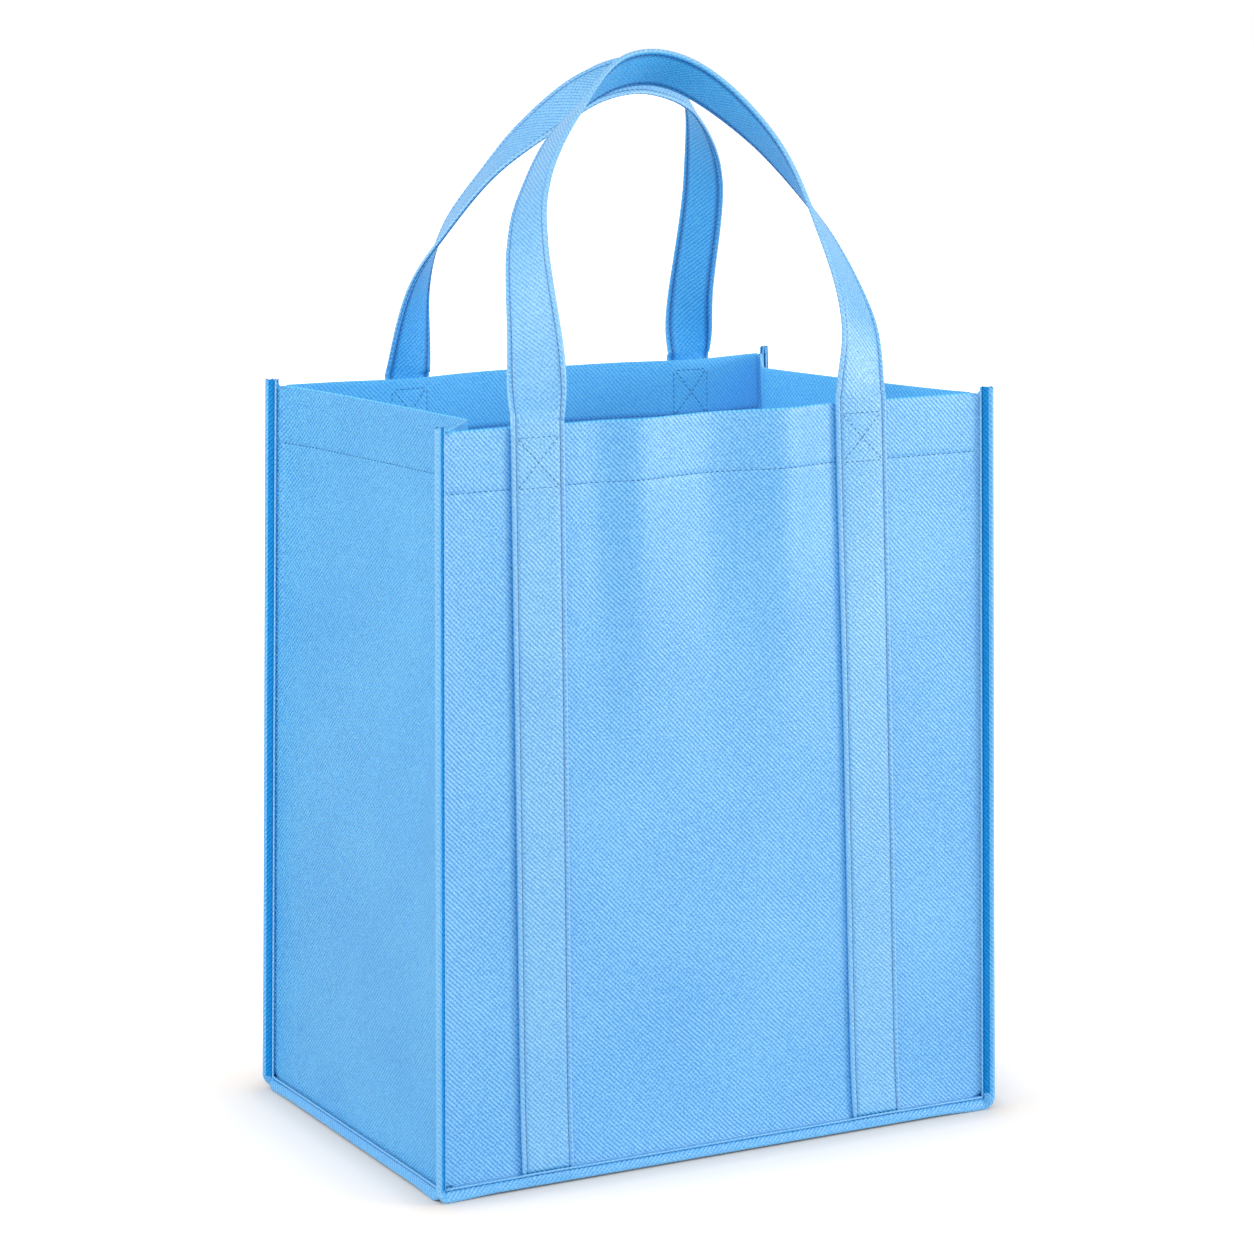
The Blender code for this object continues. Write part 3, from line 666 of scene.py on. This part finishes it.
def binding(name, route, swell, seed, materials):
    """Strip folded over a fin, sunk in along its stitching, with raw cut ends."""
    seams, outs, acrosses = route
    section = fin_section()
    along = run_length(seams + outs * FIN_REACH)
    grid = (seams[:, None] + outs[:, None] * section[None, :, :1]
            + acrosses[:, None] * section[None, :, 1:])
    waver = RIPPLE_HEIGHT * ripple(along, RIPPLE_PITCHES, (0.0, seed))
    lift = section[:, 1] / BINDING_OFFSET
    grid += acrosses[:, None] * (waver[:, None] * lift[None, :])[..., None]
    near_seam = np.clip((FIN_REACH - section[:, 0]) / (FIN_REACH - BINDING_START), 0.0, 1.0)
    over = np.where(section[:, 1] > 0, near_seam, 0.0)
    drawn = drawn_in(seams)[:, None] * np.maximum(section[:, 0], 0.0)[None, :]
    grid -= outs[:, None] * drawn[..., None]
    grid += acrosses[:, None] * (swell[:, None] * over[None, :])[..., None]
    ragged = np.random.RandomState(seed)
    for end, step in ((0, 1), (-1, -2)):
        away = unit(grid[end] - grid[step])
        grid[end] += away * ragged.uniform(*CUT_END, len(section))[:, None]
    coords = np.zeros(grid.shape)
    coords[..., 0] = run_length(section)[None, :]
    coords[..., 1] = along[:, None]
    coords[..., 2] = seed
    keep = np.ones((grid.shape[0] - 1, grid.shape[1] - 1), bool)
    upright = (seams[:-1, 2] > SEAM_HEIGHT + UPRIGHT_START)[:, None]
    middles = (section[:-1, 0] + section[1:, 0]) / 2
    raised = (middles > FIN_REACH - FOLD_WIDTH) | (middles < BINDING_START + PIPE_WIDTH)
    # Upright runs take the darker copy, painted shade; their raised pipe and fold keep the plain binding
    # cloth
    finish = np.where(upright & ~raised[None, :], 1, 0)
    return add_sheet(name, grid, coords, keep, materials, finish, painted_shade_highlight=fin_shade_highlight(section)[None, :])


def fin_shade_highlight(section):
    """Painted shade and highlight across a binding: dark in its stitching, pale on its piped edges and
    fold.
    """
    reach = section[:, 0]
    stitched = bell((reach - BINDING_STITCH) / PAINTED_LINE_HALF_WIDTH)
    piped = bell((reach - BINDING_START - 0.0004) / PAINTED_LINE_HALF_WIDTH)
    folded = bell((reach - FIN_REACH - BINDING_OFFSET) / FOLD_WIDTH)
    return stitched - PIPE_HIGHLIGHT * piped - BINDING_FOLD_HIGHLIGHT * folded


def strap_section(face):
    """Strap's section: inner face, fold, outer face, fold and the flap between them."""
    half = STRAP_WIDTH[face] / 2
    top = 2 * LAYER
    proud = top + STRAP_PUFF
    inner_face = [
        (-half + 0.0008, 0.0),
        (-half + STRAP_STITCH, STITCH_DIP / 2),
        (-half + 0.005, 0.0),
        (-0.004, 0.0),
        (0.004, 0.0),
        (half - 0.005, 0.0),
        (half - STRAP_STITCH, STITCH_DIP / 2),
        (half - 0.0009, -0.00005),
    ]
    right_fold = [
        (half - 0.00025, LAYER * 0.35),
        (half, LAYER),
        (half - 0.00025, LAYER * 1.65),
    ]
    outer_right = [
        (half - 0.0005, proud - 0.00016),
        (half - 0.0010, proud),
        (half - 0.0016, proud - 0.00012),
        (half - 0.0021, top),
        (half - STRAP_STITCH, top - STITCH_DIP),
        (half - 0.0030, top - 0.00002),
        (half - 0.0045, top + 0.00010),
        (half / 3, top + 0.00012),
    ]
    outer_left = [(-across, out) for across, out in reversed(outer_right)]
    left_fold = [
        (-half + 0.00025, LAYER * 1.85),
        (-half, LAYER * 1.45),
        (-half + 0.00025, LAYER * 1.1),
    ]
    flap = [
        (-half + 0.0009, LAYER),
        (-half + 0.005, LAYER),
        (-half + FLAP, LAYER),
    ]
    return np.array(inner_face + right_fold + outer_right + outer_left + left_fold + flap)


def curve_through(points, steps):
    """Smooth curve through rows of numbers."""
    points = np.array(points, float)
    ends = np.vstack([2 * points[0] - points[1], points, 2 * points[-1] - points[-2]])
    t = np.linspace(0.0, 1.0, steps, endpoint=False)[:, None]
    parts = []
    for k in range(1, len(ends) - 2):
        a, b, c, d = ends[k - 1:k + 3]
        parts.append(0.5 * (2 * b + (c - a) * t + (2 * a - 5 * b + 4 * c - d) * t ** 2
                            + (3 * b - a - 3 * c + d) * t ** 3))
    parts.append(points[-1:])
    return np.vstack(parts)


class Strap:
    """One strap: places points of its section at every station along it."""

    def __init__(self, face):
        self.face = face
        upright = BAG_HEIGHT + STRAP_UPRIGHT
        self.heights = spaced(SEAM_HEIGHT + STRAP_FOOT, upright, FINE_GRID)
        feet = []
        for side in SIDES:
            x = strap_middle(face, side, upright)
            feet.append(np.array([x, face * (broad_reach(face, x, BAG_HEIGHT) + LAYER), upright]))
        route = [np.append(feet[0], 0.0)]
        for share, lean, rise, turn in LOOPS[face]:
            x = feet[0][0] + (feet[1][0] - feet[0][0]) * share
            route.append(np.array([x, face * (HALF_DEPTH - lean), BAG_HEIGHT + rise, turn]))
        route.append(np.append(feet[1], 0.0))
        curve = curve_through(route, 22)
        along = unit(curve[2:, :3] - curve[:-2, :3])
        curve = curve[1:-1]
        inward = np.array([0.0, -face, 0.0])
        inward = unit(inward - along * (along @ inward)[:, None])
        beside = np.cross(along, inward) * face
        angle = np.radians(curve[:, 3])[:, None]
        self.middle = curve[:, :3]
        self.width = beside * np.cos(angle) - inward * np.sin(angle)
        self.outward = np.cross(along, self.width) * face

    def on_wall(self, side, z, across, out):
        """Points beside the wall: z, across and out broadcast together."""
        x = strap_middle(self.face, side, z) - side * across
        reach = broad_reach(self.face, x, np.minimum(z, BAG_HEIGHT))
        foot = smooth((z - SEAM_HEIGHT - STRAP_FOOT) / FOOT_LENGTH)
        y = self.face * (reach + LAYER + out * (1.0 - FOOT_PRESS * (1.0 - foot)))
        return np.stack(np.broadcast_arrays(x, y, z), -1)

    def place(self, across, out):
        """Line of points along the whole strap at one place of its section."""
        up = self.on_wall(-1, self.heights, across, out)
        air = self.middle + self.width * across + self.outward * out
        down = self.on_wall(1, self.heights[::-1], across, out)
        return np.vstack([up, air, down])


def strap_cloth(name, strap, seed, materials):
    """Folded strap with its layers."""
    section = strap_section(strap.face)
    grid = np.stack([strap.place(across, out) for across, out in section], 1)
    coords = np.zeros(grid.shape)
    coords[..., 0] = -run_length(section)[None, :]
    coords[..., 1] = run_length(strap.place(0.0, 0.0))[:, None]
    coords[..., 2] = seed
    keep = np.ones((grid.shape[0] - 1, grid.shape[1] - 1), bool)
    before_outer_face = np.arange(len(section) - 1) < len(section) / 3
    inner_face = (section[:-1, 1] + section[1:, 1] < LAYER) & before_outer_face
    half = STRAP_WIDTH[strap.face] / 2
    from_edge = half - np.abs(section[:, 0])
    # Painted shade along the stitching and painted highlight on the folded edges
    stitched = bell((from_edge - STRAP_STITCH) / PAINTED_LINE_HALF_WIDTH)
    folded = bell((from_edge - STRAP_FOLD_LINE) / STRAP_FOLD_LINE)
    shade_highlight = stitched - STRAP_FOLD_HIGHLIGHT * folded
    return add_sheet(name, grid, coords, keep, materials, inner_face[None, :], painted_shade_highlight=shade_highlight[None, :])


def stitches(line, outward, lift, start=0.0, stop=None):
    """Centre lines of stitches along a line: points and their outward directions."""
    along = run_length(line)
    stop = along[-1] if stop is None else stop
    count = int((stop - start) / STITCH_PITCH)
    spare = (stop - start) - count * STITCH_PITCH
    t = np.linspace(0.0, 1.0, 5)
    made = []
    for k in range(count):
        at = start + spare / 2 + k * STITCH_PITCH + (STITCH_PITCH - STITCH_LENGTH) / 2 + t * STITCH_LENGTH
        point = np.stack([np.interp(at, along, line[:, axis]) for axis in range(3)], -1)
        away = unit(np.stack([np.interp(at, along, outward[:, axis]) for axis in range(3)], -1))
        rise = lift + THREAD_RADIUS * (1.5 * np.sin(math.pi * t) - 1.0)
        made.append((point + away * rise[:, None], away))
    return made


def thread(name, runs, material):
    """Tubes of thread round every stitch."""
    sides = 5
    swell = np.array([0.55, 0.9, 1.0, 0.9, 0.55])
    turns = np.linspace(0.0, 2 * math.pi, sides, endpoint=False)
    points, faces = [], []
    rings = len(swell)
    for run in runs:
        for centre, away in run:
            tangent = unit(np.gradient(centre, axis=0))
            beside = unit(np.cross(tangent, away))
            up = np.cross(beside, tangent)
            ring = (beside[:, None] * np.cos(turns)[None, :, None]
                    + up[:, None] * np.sin(turns)[None, :, None])
            tube = centre[:, None] + ring * (THREAD_RADIUS * swell)[:, None, None]
            first = len(points) * rings * sides
            points.append(tube.reshape(-1, 3))
            for r in range(rings - 1):
                for s in range(sides):
                    a = first + r * sides + s
                    b = first + r * sides + (s + 1) % sides
                    faces.append((a, b, b + sides, a + sides))
            faces.append(tuple(first + s for s in reversed(range(sides))))
            faces.append(tuple(first + (rings - 1) * sides + s for s in range(sides)))
    return add_mesh(name, np.vstack(points).tolist(), faces, [material])


def hem_runs():
    """Stitches of the four hems, outside and inside."""
    runs = []
    for face in SIDES:
        shares = np.linspace(-0.985, 0.985, 260)
        z = np.full(len(shares), HEM_STITCH)
        for depth, lift, sign in ((0.0, CLOTH / 2, 1.0), (LAYER, CLOTH / 2, -1.0)):
            line = broad_surface(face, shares, z, depth)
            outward = np.tile(np.array([0.0, face * sign, 0.0]), (len(line), 1))
            runs.append(stitches(line, outward, lift))
    for side in SIDES:
        shares = np.linspace(-0.98, 0.98, 200)
        z = np.full(len(shares), HEM_STITCH)
        for depth, lift, sign in ((0.0, CLOTH / 2, 1.0), (LAYER, CLOTH / 2, -1.0)):
            line = side_surface(side, shares, z, depth)
            tangent = unit(np.gradient(line, axis=0))
            outward = unit(np.cross(tangent, [0.0, 0.0, 1.0])) * side * sign
            runs.append(stitches(line, outward, lift))
    return runs


def edge_runs(strap):
    """Stitches along both edges of a strap, and their back sides."""
    edge = STRAP_WIDTH[strap.face] / 2 - STRAP_STITCH
    outer = 2 * LAYER - STITCH_DIP
    runs = []
    for across in (-edge, edge):
        line = strap.place(across, outer)
        outward = unit(strap.place(across, outer + LAYER) - line)
        stop = run_length(line)[-1] - STITCH_MARGIN
        runs.append(stitches(line, outward, CLOTH / 2, STITCH_MARGIN, stop))
        air = strap.middle + strap.width * across
        runs.append(stitches(air, -strap.outward, CLOTH / 2 - STITCH_DIP / 2))
        for side in SIDES:
            z = spaced(SEAM_HEIGHT + FOOT_MARGIN, BAG_HEIGHT - BOX_TOP, GRID)
            inside = strap.on_wall(side, z, across, -LAYER)
            inside[:, 1] -= strap.face * np.where(z > BAG_HEIGHT - HEM_DEPTH, LAYER, 0.0)
            inward = np.tile(np.array([0.0, -strap.face, 0.0]), (len(z), 1))
            runs.append(stitches(inside, inward, CLOTH / 2))
    return runs


def box_runs(strap):
    """Stitches of a strap's crossed boxes at the hem, and their back sides."""
    top = BAG_HEIGHT - BOX_TOP
    low = HEM_STITCH
    wide = STRAP_WIDTH[strap.face] / 2 - STRAP_STITCH - BOX_INSET
    lines = [((-wide, top), (wide, top)), ((-wide, low), (wide, low)),
             ((-wide, top), (wide, low)), ((-wide, low), (wide, top))]
    runs = []
    for side in SIDES:
        for (across_a, z_a), (across_b, z_b) in lines:
            t = np.linspace(0.0, 1.0, 24)
            across = across_a + (across_b - across_a) * t
            z = z_a + (z_b - z_a) * t
            front = strap.on_wall(side, z, across, 2 * LAYER + 0.00006)
            away = np.tile(np.array([0.0, strap.face, 0.0]), (len(t), 1))
            runs.append(stitches(front, away, CLOTH / 2))
            back = strap.on_wall(side, z, across, -2 * LAYER)
            runs.append(stitches(back, -away, CLOTH / 2))
    return runs


def binding_runs(route, swell):
    """Stitches on both faces of a binding."""
    seams, outs, acrosses = route
    near_seam = (FIN_REACH - BINDING_STITCH) / (FIN_REACH - BINDING_START)
    runs = []
    for sign in SIDES:
        level = BINDING_OFFSET - 0.00020 + (swell * near_seam if sign > 0 else 0.0 * swell)
        line = seams + outs * BINDING_STITCH + acrosses * sign * level[:, None]
        runs.append(stitches(line, acrosses * sign, CLOTH / 2))
    return runs


class Nodes:
    """Small helper that adds and links shader nodes."""

    def __init__(self, tree):
        self.tree = tree

    def add(self, kind, **settings):
        node = self.tree.nodes.new(kind)
        for key, value in settings.items():
            setattr(node, key, value)
        return node

    def math(self, operation, a, b=None, clamp=False):
        node = self.add("ShaderNodeMath", operation=operation, use_clamp=clamp)
        for socket, value in zip(node.inputs, (a, b)):
            if value is None:
                continue
            if isinstance(value, (int, float)):
                socket.default_value = value
            else:
                self.tree.links.new(value, socket)
        return node.outputs[0]

    def link(self, output, socket):
        self.tree.links.new(output, socket)

    def mix(self, factor, first, second):
        """Colour between two colours or colour sockets."""
        node = self.add("ShaderNodeMix", data_type="RGBA")
        self.link(factor, node.inputs["Factor"])
        sockets = [socket for socket in node.inputs if socket.type == "RGBA"]
        for socket, colour in zip(sockets, (first, second)):
            if isinstance(colour, tuple):
                socket.default_value = (*colour, 1.0)
            else:
                self.link(colour, socket)
        return node.outputs[2]

    def noise(self, vector, scale, detail=2.0, output="Fac"):
        node = self.add("ShaderNodeTexNoise")
        node.inputs["Scale"].default_value = scale
        node.inputs["Detail"].default_value = detail
        self.link(vector, node.inputs["Vector"])
        return node.outputs[output]

    def spread(self, value, low, high, to_low, to_high):
        node = self.add("ShaderNodeMapRange")
        self.link(value, node.inputs["Value"])
        names = ("From Min", "From Max", "To Min", "To Max")
        for name, number in zip(names, (low, high, to_low, to_high)):
            node.inputs[name].default_value = number
        return node.outputs["Result"]

    def bump(self, height, distance, shader):
        node = self.add("ShaderNodeBump")
        node.inputs["Distance"].default_value = distance
        self.link(height, node.inputs["Height"])
        self.link(node.outputs["Normal"], shader.inputs["Normal"])


def new_material(name):
    """Material with a helper for its nodes, and its shader."""
    material = bpy.data.materials.new(name)
    material.use_nodes = True
    return material, Nodes(material.node_tree), material.node_tree.nodes["Principled BSDF"]


def ridge_height(nodes, place, leading, following):
    """Height of the embossed ridges and of the fibres' grain."""
    shift = nodes.add("ShaderNodeVectorMath", operation="SCALE")
    nodes.link(nodes.noise(place, WANDER_SCALE, 2.0, "Color"), shift.inputs[0])
    shift.inputs["Scale"].default_value = WANDER_REACH
    moved = nodes.add("ShaderNodeVectorMath", operation="ADD")
    nodes.link(place, moved.inputs[0])
    nodes.link(shift.outputs[0], moved.inputs[1])
    parts = nodes.add("ShaderNodeSeparateXYZ")
    nodes.link(moved.outputs[0], parts.inputs[0])
    turn = 2 * math.pi / (EMBOSS_PITCH / DIAGONAL)
    rising = nodes.math("ADD", parts.outputs["X"], parts.outputs["Y"])
    falling = nodes.math("SUBTRACT", parts.outputs["X"], parts.outputs["Y"])
    first = nodes.math("SINE", nodes.math("MULTIPLY", rising, turn))
    second = nodes.math("SINE", nodes.math("MULTIPLY", falling, turn))
    patch = nodes.spread(nodes.noise(place, PATCH_SCALE, 1.0), 0.38, 0.66, 0.0, 1.0)
    lead = nodes.spread(patch, 0.0, 1.0, leading, leading * 0.75)
    follow = nodes.spread(patch, 0.0, 1.0, following, leading * 0.50)
    led = nodes.math("MULTIPLY", first, lead)
    followed = nodes.math("MULTIPLY", second, follow)
    grain = nodes.spread(nodes.noise(place, GRAIN_SCALE, 1.0), 0.3, 0.7, -1.0, 1.0)
    return nodes.math("ADD", nodes.math("ADD", led, followed), nodes.math("MULTIPLY", grain, GRAIN))


def embossed_cloth(name, light, dark, leading, following, relief, haze, painted_glow):
    """Non-woven cloth embossed with two crossing families of fine diagonal ridges, with painted highlight
    on their crests and painted shade in their hollows.
    """
    material, nodes, shader = new_material(name)
    place = nodes.add("ShaderNodeAttribute", attribute_name="cloth").outputs["Vector"]
    height = ridge_height(nodes, place, leading, following)
    nodes.bump(height, relief, shader)
    cloudy = nodes.spread(nodes.noise(place, CLOUD_SCALE, 3.0), 0.3, 0.7, -CLOUD_DEPTH, CLOUD_DEPTH)
    mottle = nodes.spread(nodes.noise(place, MOTTLE_SCALE, 2.0), 0.3, 0.7, -MOTTLE_DEPTH, MOTTLE_DEPTH)
    uneven = nodes.math("ADD", cloudy, mottle)
    # Ridge height sets the tone: painted highlight on the crests and painted shade in the hollows. The
    # noise on top is the cloth's own uneven tone.
    tone = nodes.math("ADD", nodes.spread(height, -1.0, 1.0, 0.0, 1.0), uneven, clamp=True)
    flat = nodes.mix(tone, dark, light)
    # Painted shade darkens the stitched grooves and a painted highlight pales the folds and piped edges
    shade_highlight = nodes.add("ShaderNodeAttribute", attribute_name="painted_shade_highlight").outputs["Fac"]
    groove_shaded = nodes.mix(nodes.spread(shade_highlight, 0.0, 1.0, 0.0, GROOVE_SHADE_SHARE), flat, GROOVE_SHADE_BLUE)
    edge_highlighted = nodes.mix(nodes.spread(shade_highlight, 0.0, -1.0, 0.0, EDGE_HIGHLIGHT_SHARE), groove_shaded, EDGE_HIGHLIGHT_BLUE)
    nodes.link(edge_highlighted, shader.inputs["Base Color"])
    shader.inputs["Roughness"].default_value = CLOTH_ROUGHNESS
    shader.inputs["IOR"].default_value = haze
    shader.inputs["Specular IOR Level"].default_value = 1.0
    # Painted glow: emission standing in for daylight shining into the thin cloth, set on the inside and
    # strap-underside copies
    shader.inputs["Emission Color"].default_value = (*PAINTED_GLOW_COLOUR, 1.0)
    shader.inputs["Emission Strength"].default_value = painted_glow
    return material


def plain_material(name, colour, roughness, grain, scale):
    """Matt finish with a fine grain."""
    material, nodes, shader = new_material(name)
    place = nodes.add("ShaderNodeTexCoord").outputs["Object"]
    nodes.bump(nodes.noise(place, scale, 2.0), grain, shader)
    shader.inputs["Base Color"].default_value = (*colour, 1.0)
    shader.inputs["Roughness"].default_value = roughness
    return material


def add_board(material):
    """Stiff insert with rounded corners."""
    width = BASE_WIDTH - 2 * BOARD_MARGIN
    depth = 2 * (HALF_DEPTH - BOARD_MARGIN)
    low = SEAM_HEIGHT + CLOTH / 2 + CLEARANCE
    outline = []
    for corner_x, corner_y, start in ((1, 1, 0.0), (-1, 1, 90.0), (-1, -1, 180.0), (1, -1, 270.0)):
        for angle in np.radians(np.linspace(start, start + 90.0, 7)):
            outline.append((corner_x * (width / 2 - BOARD_CORNER) + BOARD_CORNER * math.cos(angle),
                            corner_y * (depth / 2 - BOARD_CORNER) + BOARD_CORNER * math.sin(angle)))
    count = len(outline)
    points = [(x, y, low) for x, y in outline] + [(x, y, low + BOARD_THICKNESS) for x, y in outline]
    faces = [tuple(reversed(range(count))), tuple(range(count, 2 * count))]
    for k in range(count):
        after = (k + 1) % count
        faces.append((k, after, count + after, count + k))
    made = add_mesh("stiff_board", points, faces, [material], smoothed=False)
    rounded = made.modifiers.new("Softened edges", "BEVEL")
    rounded.width = 0.0004
    rounded.segments = 2
    return made


def add_floor():
    """Pale floor that reads white round the bag and keeps its shadow."""
    material, nodes, shader = new_material("floor")
    shader.inputs["Base Color"].default_value = (*FLOOR_WHITE, 1.0)
    shader.inputs["Roughness"].default_value = 0.9
    shader.inputs["Specular IOR Level"].default_value = 0.0
    place = nodes.add("ShaderNodeTexCoord").outputs["Object"]
    parts = nodes.add("ShaderNodeSeparateXYZ")
    nodes.link(place, parts.inputs[0])
    squares = []
    for axis, half in (("X", BASE_WIDTH / 2), ("Y", HALF_DEPTH)):
        beyond = nodes.math("SUBTRACT", nodes.math("ABSOLUTE", parts.outputs[axis]), half)
        outside = nodes.math("MAXIMUM", beyond, 0.0)
        squares.append(nodes.math("MULTIPLY", outside, outside))
    away = nodes.math("SQRT", nodes.math("ADD", *squares))
    near = nodes.spread(away, GLOW_START, GLOW_NEAR, 0.0, GLOW_LEVEL)
    glow = nodes.math("ADD", near, nodes.spread(away, GLOW_NEAR, GLOW_FAR, 0.0, 1.0 - GLOW_LEVEL))
    path = nodes.add("ShaderNodeLightPath").outputs["Is Camera Ray"]
    shader.inputs["Emission Color"].default_value = (1.0, 1.0, 1.0, 1.0)
    nodes.link(nodes.math("MULTIPLY", path, glow), shader.inputs["Emission Strength"])
    size = FLOOR_SIZE
    points = [(-size, -size, 0), (size, -size, 0), (size, size, 0), (-size, size, 0)]
    add_mesh("floor", points, [(0, 1, 2, 3)], [material], smoothed=False)


def add_world():
    """Even white surroundings, fully white to the camera."""
    world = bpy.data.worlds.new("studio")
    bpy.context.scene.world = world
    world.use_nodes = True
    nodes = Nodes(world.node_tree)
    background = world.node_tree.nodes["Background"]
    background.inputs["Color"].default_value = (1.0, 1.0, 1.0, 1.0)
    path = nodes.add("ShaderNodeLightPath").outputs
    seen = nodes.math("MAXIMUM", path["Is Camera Ray"], path["Is Glossy Ray"])
    seen_through = nodes.math("MAXIMUM", seen, path["Is Transmission Ray"])
    level = nodes.spread(seen_through, 0.0, 1.0, AMBIENT, 1.0)
    nodes.link(level, background.inputs["Strength"])


def add_lamp(name, place, target, size, power):
    """Soft square lamp facing a point."""
    light = bpy.data.lights.new(name, "AREA")
    light.shape = "SQUARE"
    light.size = size
    light.energy = power
    away = unit(np.array(place) - np.array(target))
    across = unit(np.cross([0.0, 0.0, 1.0], away))
    axes = np.stack([across, np.cross(away, across), away], 1)
    lamp = add_object(name, light)
    lamp.matrix_world = Matrix.Translation(place) @ Matrix(axes.tolist()).to_4x4()


def add_camera():
    """Camera of the photograph: place, turn, tilt, roll and lens."""
    azimuth, elevation, roll = np.radians([CAMERA_TURN, CAMERA_TILT, CAMERA_ROLL])
    forward = np.array([-math.sin(azimuth) * math.cos(elevation),
                        math.cos(azimuth) * math.cos(elevation), -math.sin(elevation)])
    right = np.array([math.cos(azimuth), math.sin(azimuth), 0.0])
    above = np.cross(right, forward)
    rolled_right = math.cos(roll) * right + math.sin(roll) * above
    rolled_above = math.cos(roll) * above - math.sin(roll) * right
    axes = np.stack([rolled_right, rolled_above, -forward], 1)
    data = bpy.data.cameras.new("camera")
    data.sensor_width = CAMERA_SENSOR
    data.lens = CAMERA_LENS
    camera = add_object("camera", data)
    camera.matrix_world = Matrix.Translation(CAMERA_PLACE) @ Matrix(axes.tolist()).to_4x4()
    bpy.context.scene.camera = camera


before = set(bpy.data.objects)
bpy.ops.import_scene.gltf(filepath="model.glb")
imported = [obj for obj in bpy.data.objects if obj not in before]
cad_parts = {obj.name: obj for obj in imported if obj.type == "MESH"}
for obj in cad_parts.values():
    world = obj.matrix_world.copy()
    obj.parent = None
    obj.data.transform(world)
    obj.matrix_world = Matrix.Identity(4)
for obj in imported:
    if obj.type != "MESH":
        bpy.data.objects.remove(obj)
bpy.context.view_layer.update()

cloths = {name: embossed_cloth(name, *values) for name, values in CLOTHS.items()}
thread_finish = plain_material("sewing_thread", THREAD_BLUE, 0.6, 0.00003, 9000.0)
board_finish = plain_material("stiff_board", BOARD_BLUE, 0.6, 0.00005, 1500.0)
broad_sides = [cloths["embossed_sheet"], cloths["embossed_sheet_inside"]]
gusset_sides = [cloths["embossed_side_sheet"], cloths["embossed_sheet_inside"]]
strap_sides = [cloths["folded_strap"], cloths["folded_strap_inside"]]
trims = [cloths["binding_strip"], cloths["binding_strip_shaded"]]

pieces = {}
for node, face, seed in (("front_panel", -1, 1), ("back_panel", 1, 2)):
    ends = {"left": (-1, face), "right": (1, face)}
    pieces[node] = wall(node + "_cloth", partial(broad_surface, face), ends, 1,
                        *base_directions(0.0, face), BASE_WIDTH, seed, -face, broad_sides)
for node, side, seed in (("left_side_panel", -1, 3), ("right_side_panel", 1, 4)):
    ends = {"left": (side, -1), "right": (side, 1)}
    pieces[node] = wall(node + "_cloth", partial(side_surface, side), ends, -1,
                        *base_directions(side, 0.0), BAG_DEPTH, seed, 1, gusset_sides)
pieces["bottom_panel"] = bottom(9, broad_sides[:1])

front_route = broad_binding_route(-1)
back_route = broad_binding_route(1)
left_route = side_binding_route(-1)
right_route = side_binding_route(1)
front_swell = foot_swell(-1, front_route[0])
back_swell = foot_swell(1, back_route[0])
no_swell = np.zeros(len(left_route[0]))
pieces["front_binding"] = binding("front_binding_cloth", front_route, front_swell, 11, trims)
pieces["back_binding"] = binding("back_binding_cloth", back_route, back_swell, 12, trims)
pieces["left_base_binding"] = binding("left_base_binding_cloth", left_route, no_swell, 13, trims)
pieces["right_base_binding"] = binding("right_base_binding_cloth", right_route, no_swell, 14, trims)

front_strap = Strap(-1)
back_strap = Strap(1)
pieces["front_handle"] = strap_cloth("front_handle_cloth", front_strap, 21, strap_sides)
pieces["back_handle"] = strap_cloth("back_handle_cloth", back_strap, 22, strap_sides)
pieces["base_board"] = add_board(board_finish)

threads = [
    thread("hem_thread", hem_runs(), thread_finish),
    thread("front_handle_thread", edge_runs(front_strap) + box_runs(front_strap), thread_finish),
    thread("back_handle_thread", edge_runs(back_strap) + box_runs(back_strap), thread_finish),
    thread("front_binding_thread", binding_runs(front_route, front_swell), thread_finish),
    thread("back_binding_thread", binding_runs(back_route, back_swell), thread_finish),
    thread("side_binding_thread",
           binding_runs(left_route, no_swell) + binding_runs(right_route, no_swell), thread_finish),
]

for node, piece in pieces.items():
    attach(piece, "root")
    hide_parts(node)
for piece in threads:
    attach(piece, "root")

add_floor()
add_world()
for lamp_name, place, target, size, power in LAMPS:
    add_lamp(lamp_name, place, target, size, power)
add_camera()

bpy.context.scene.view_settings.view_transform = "Standard"
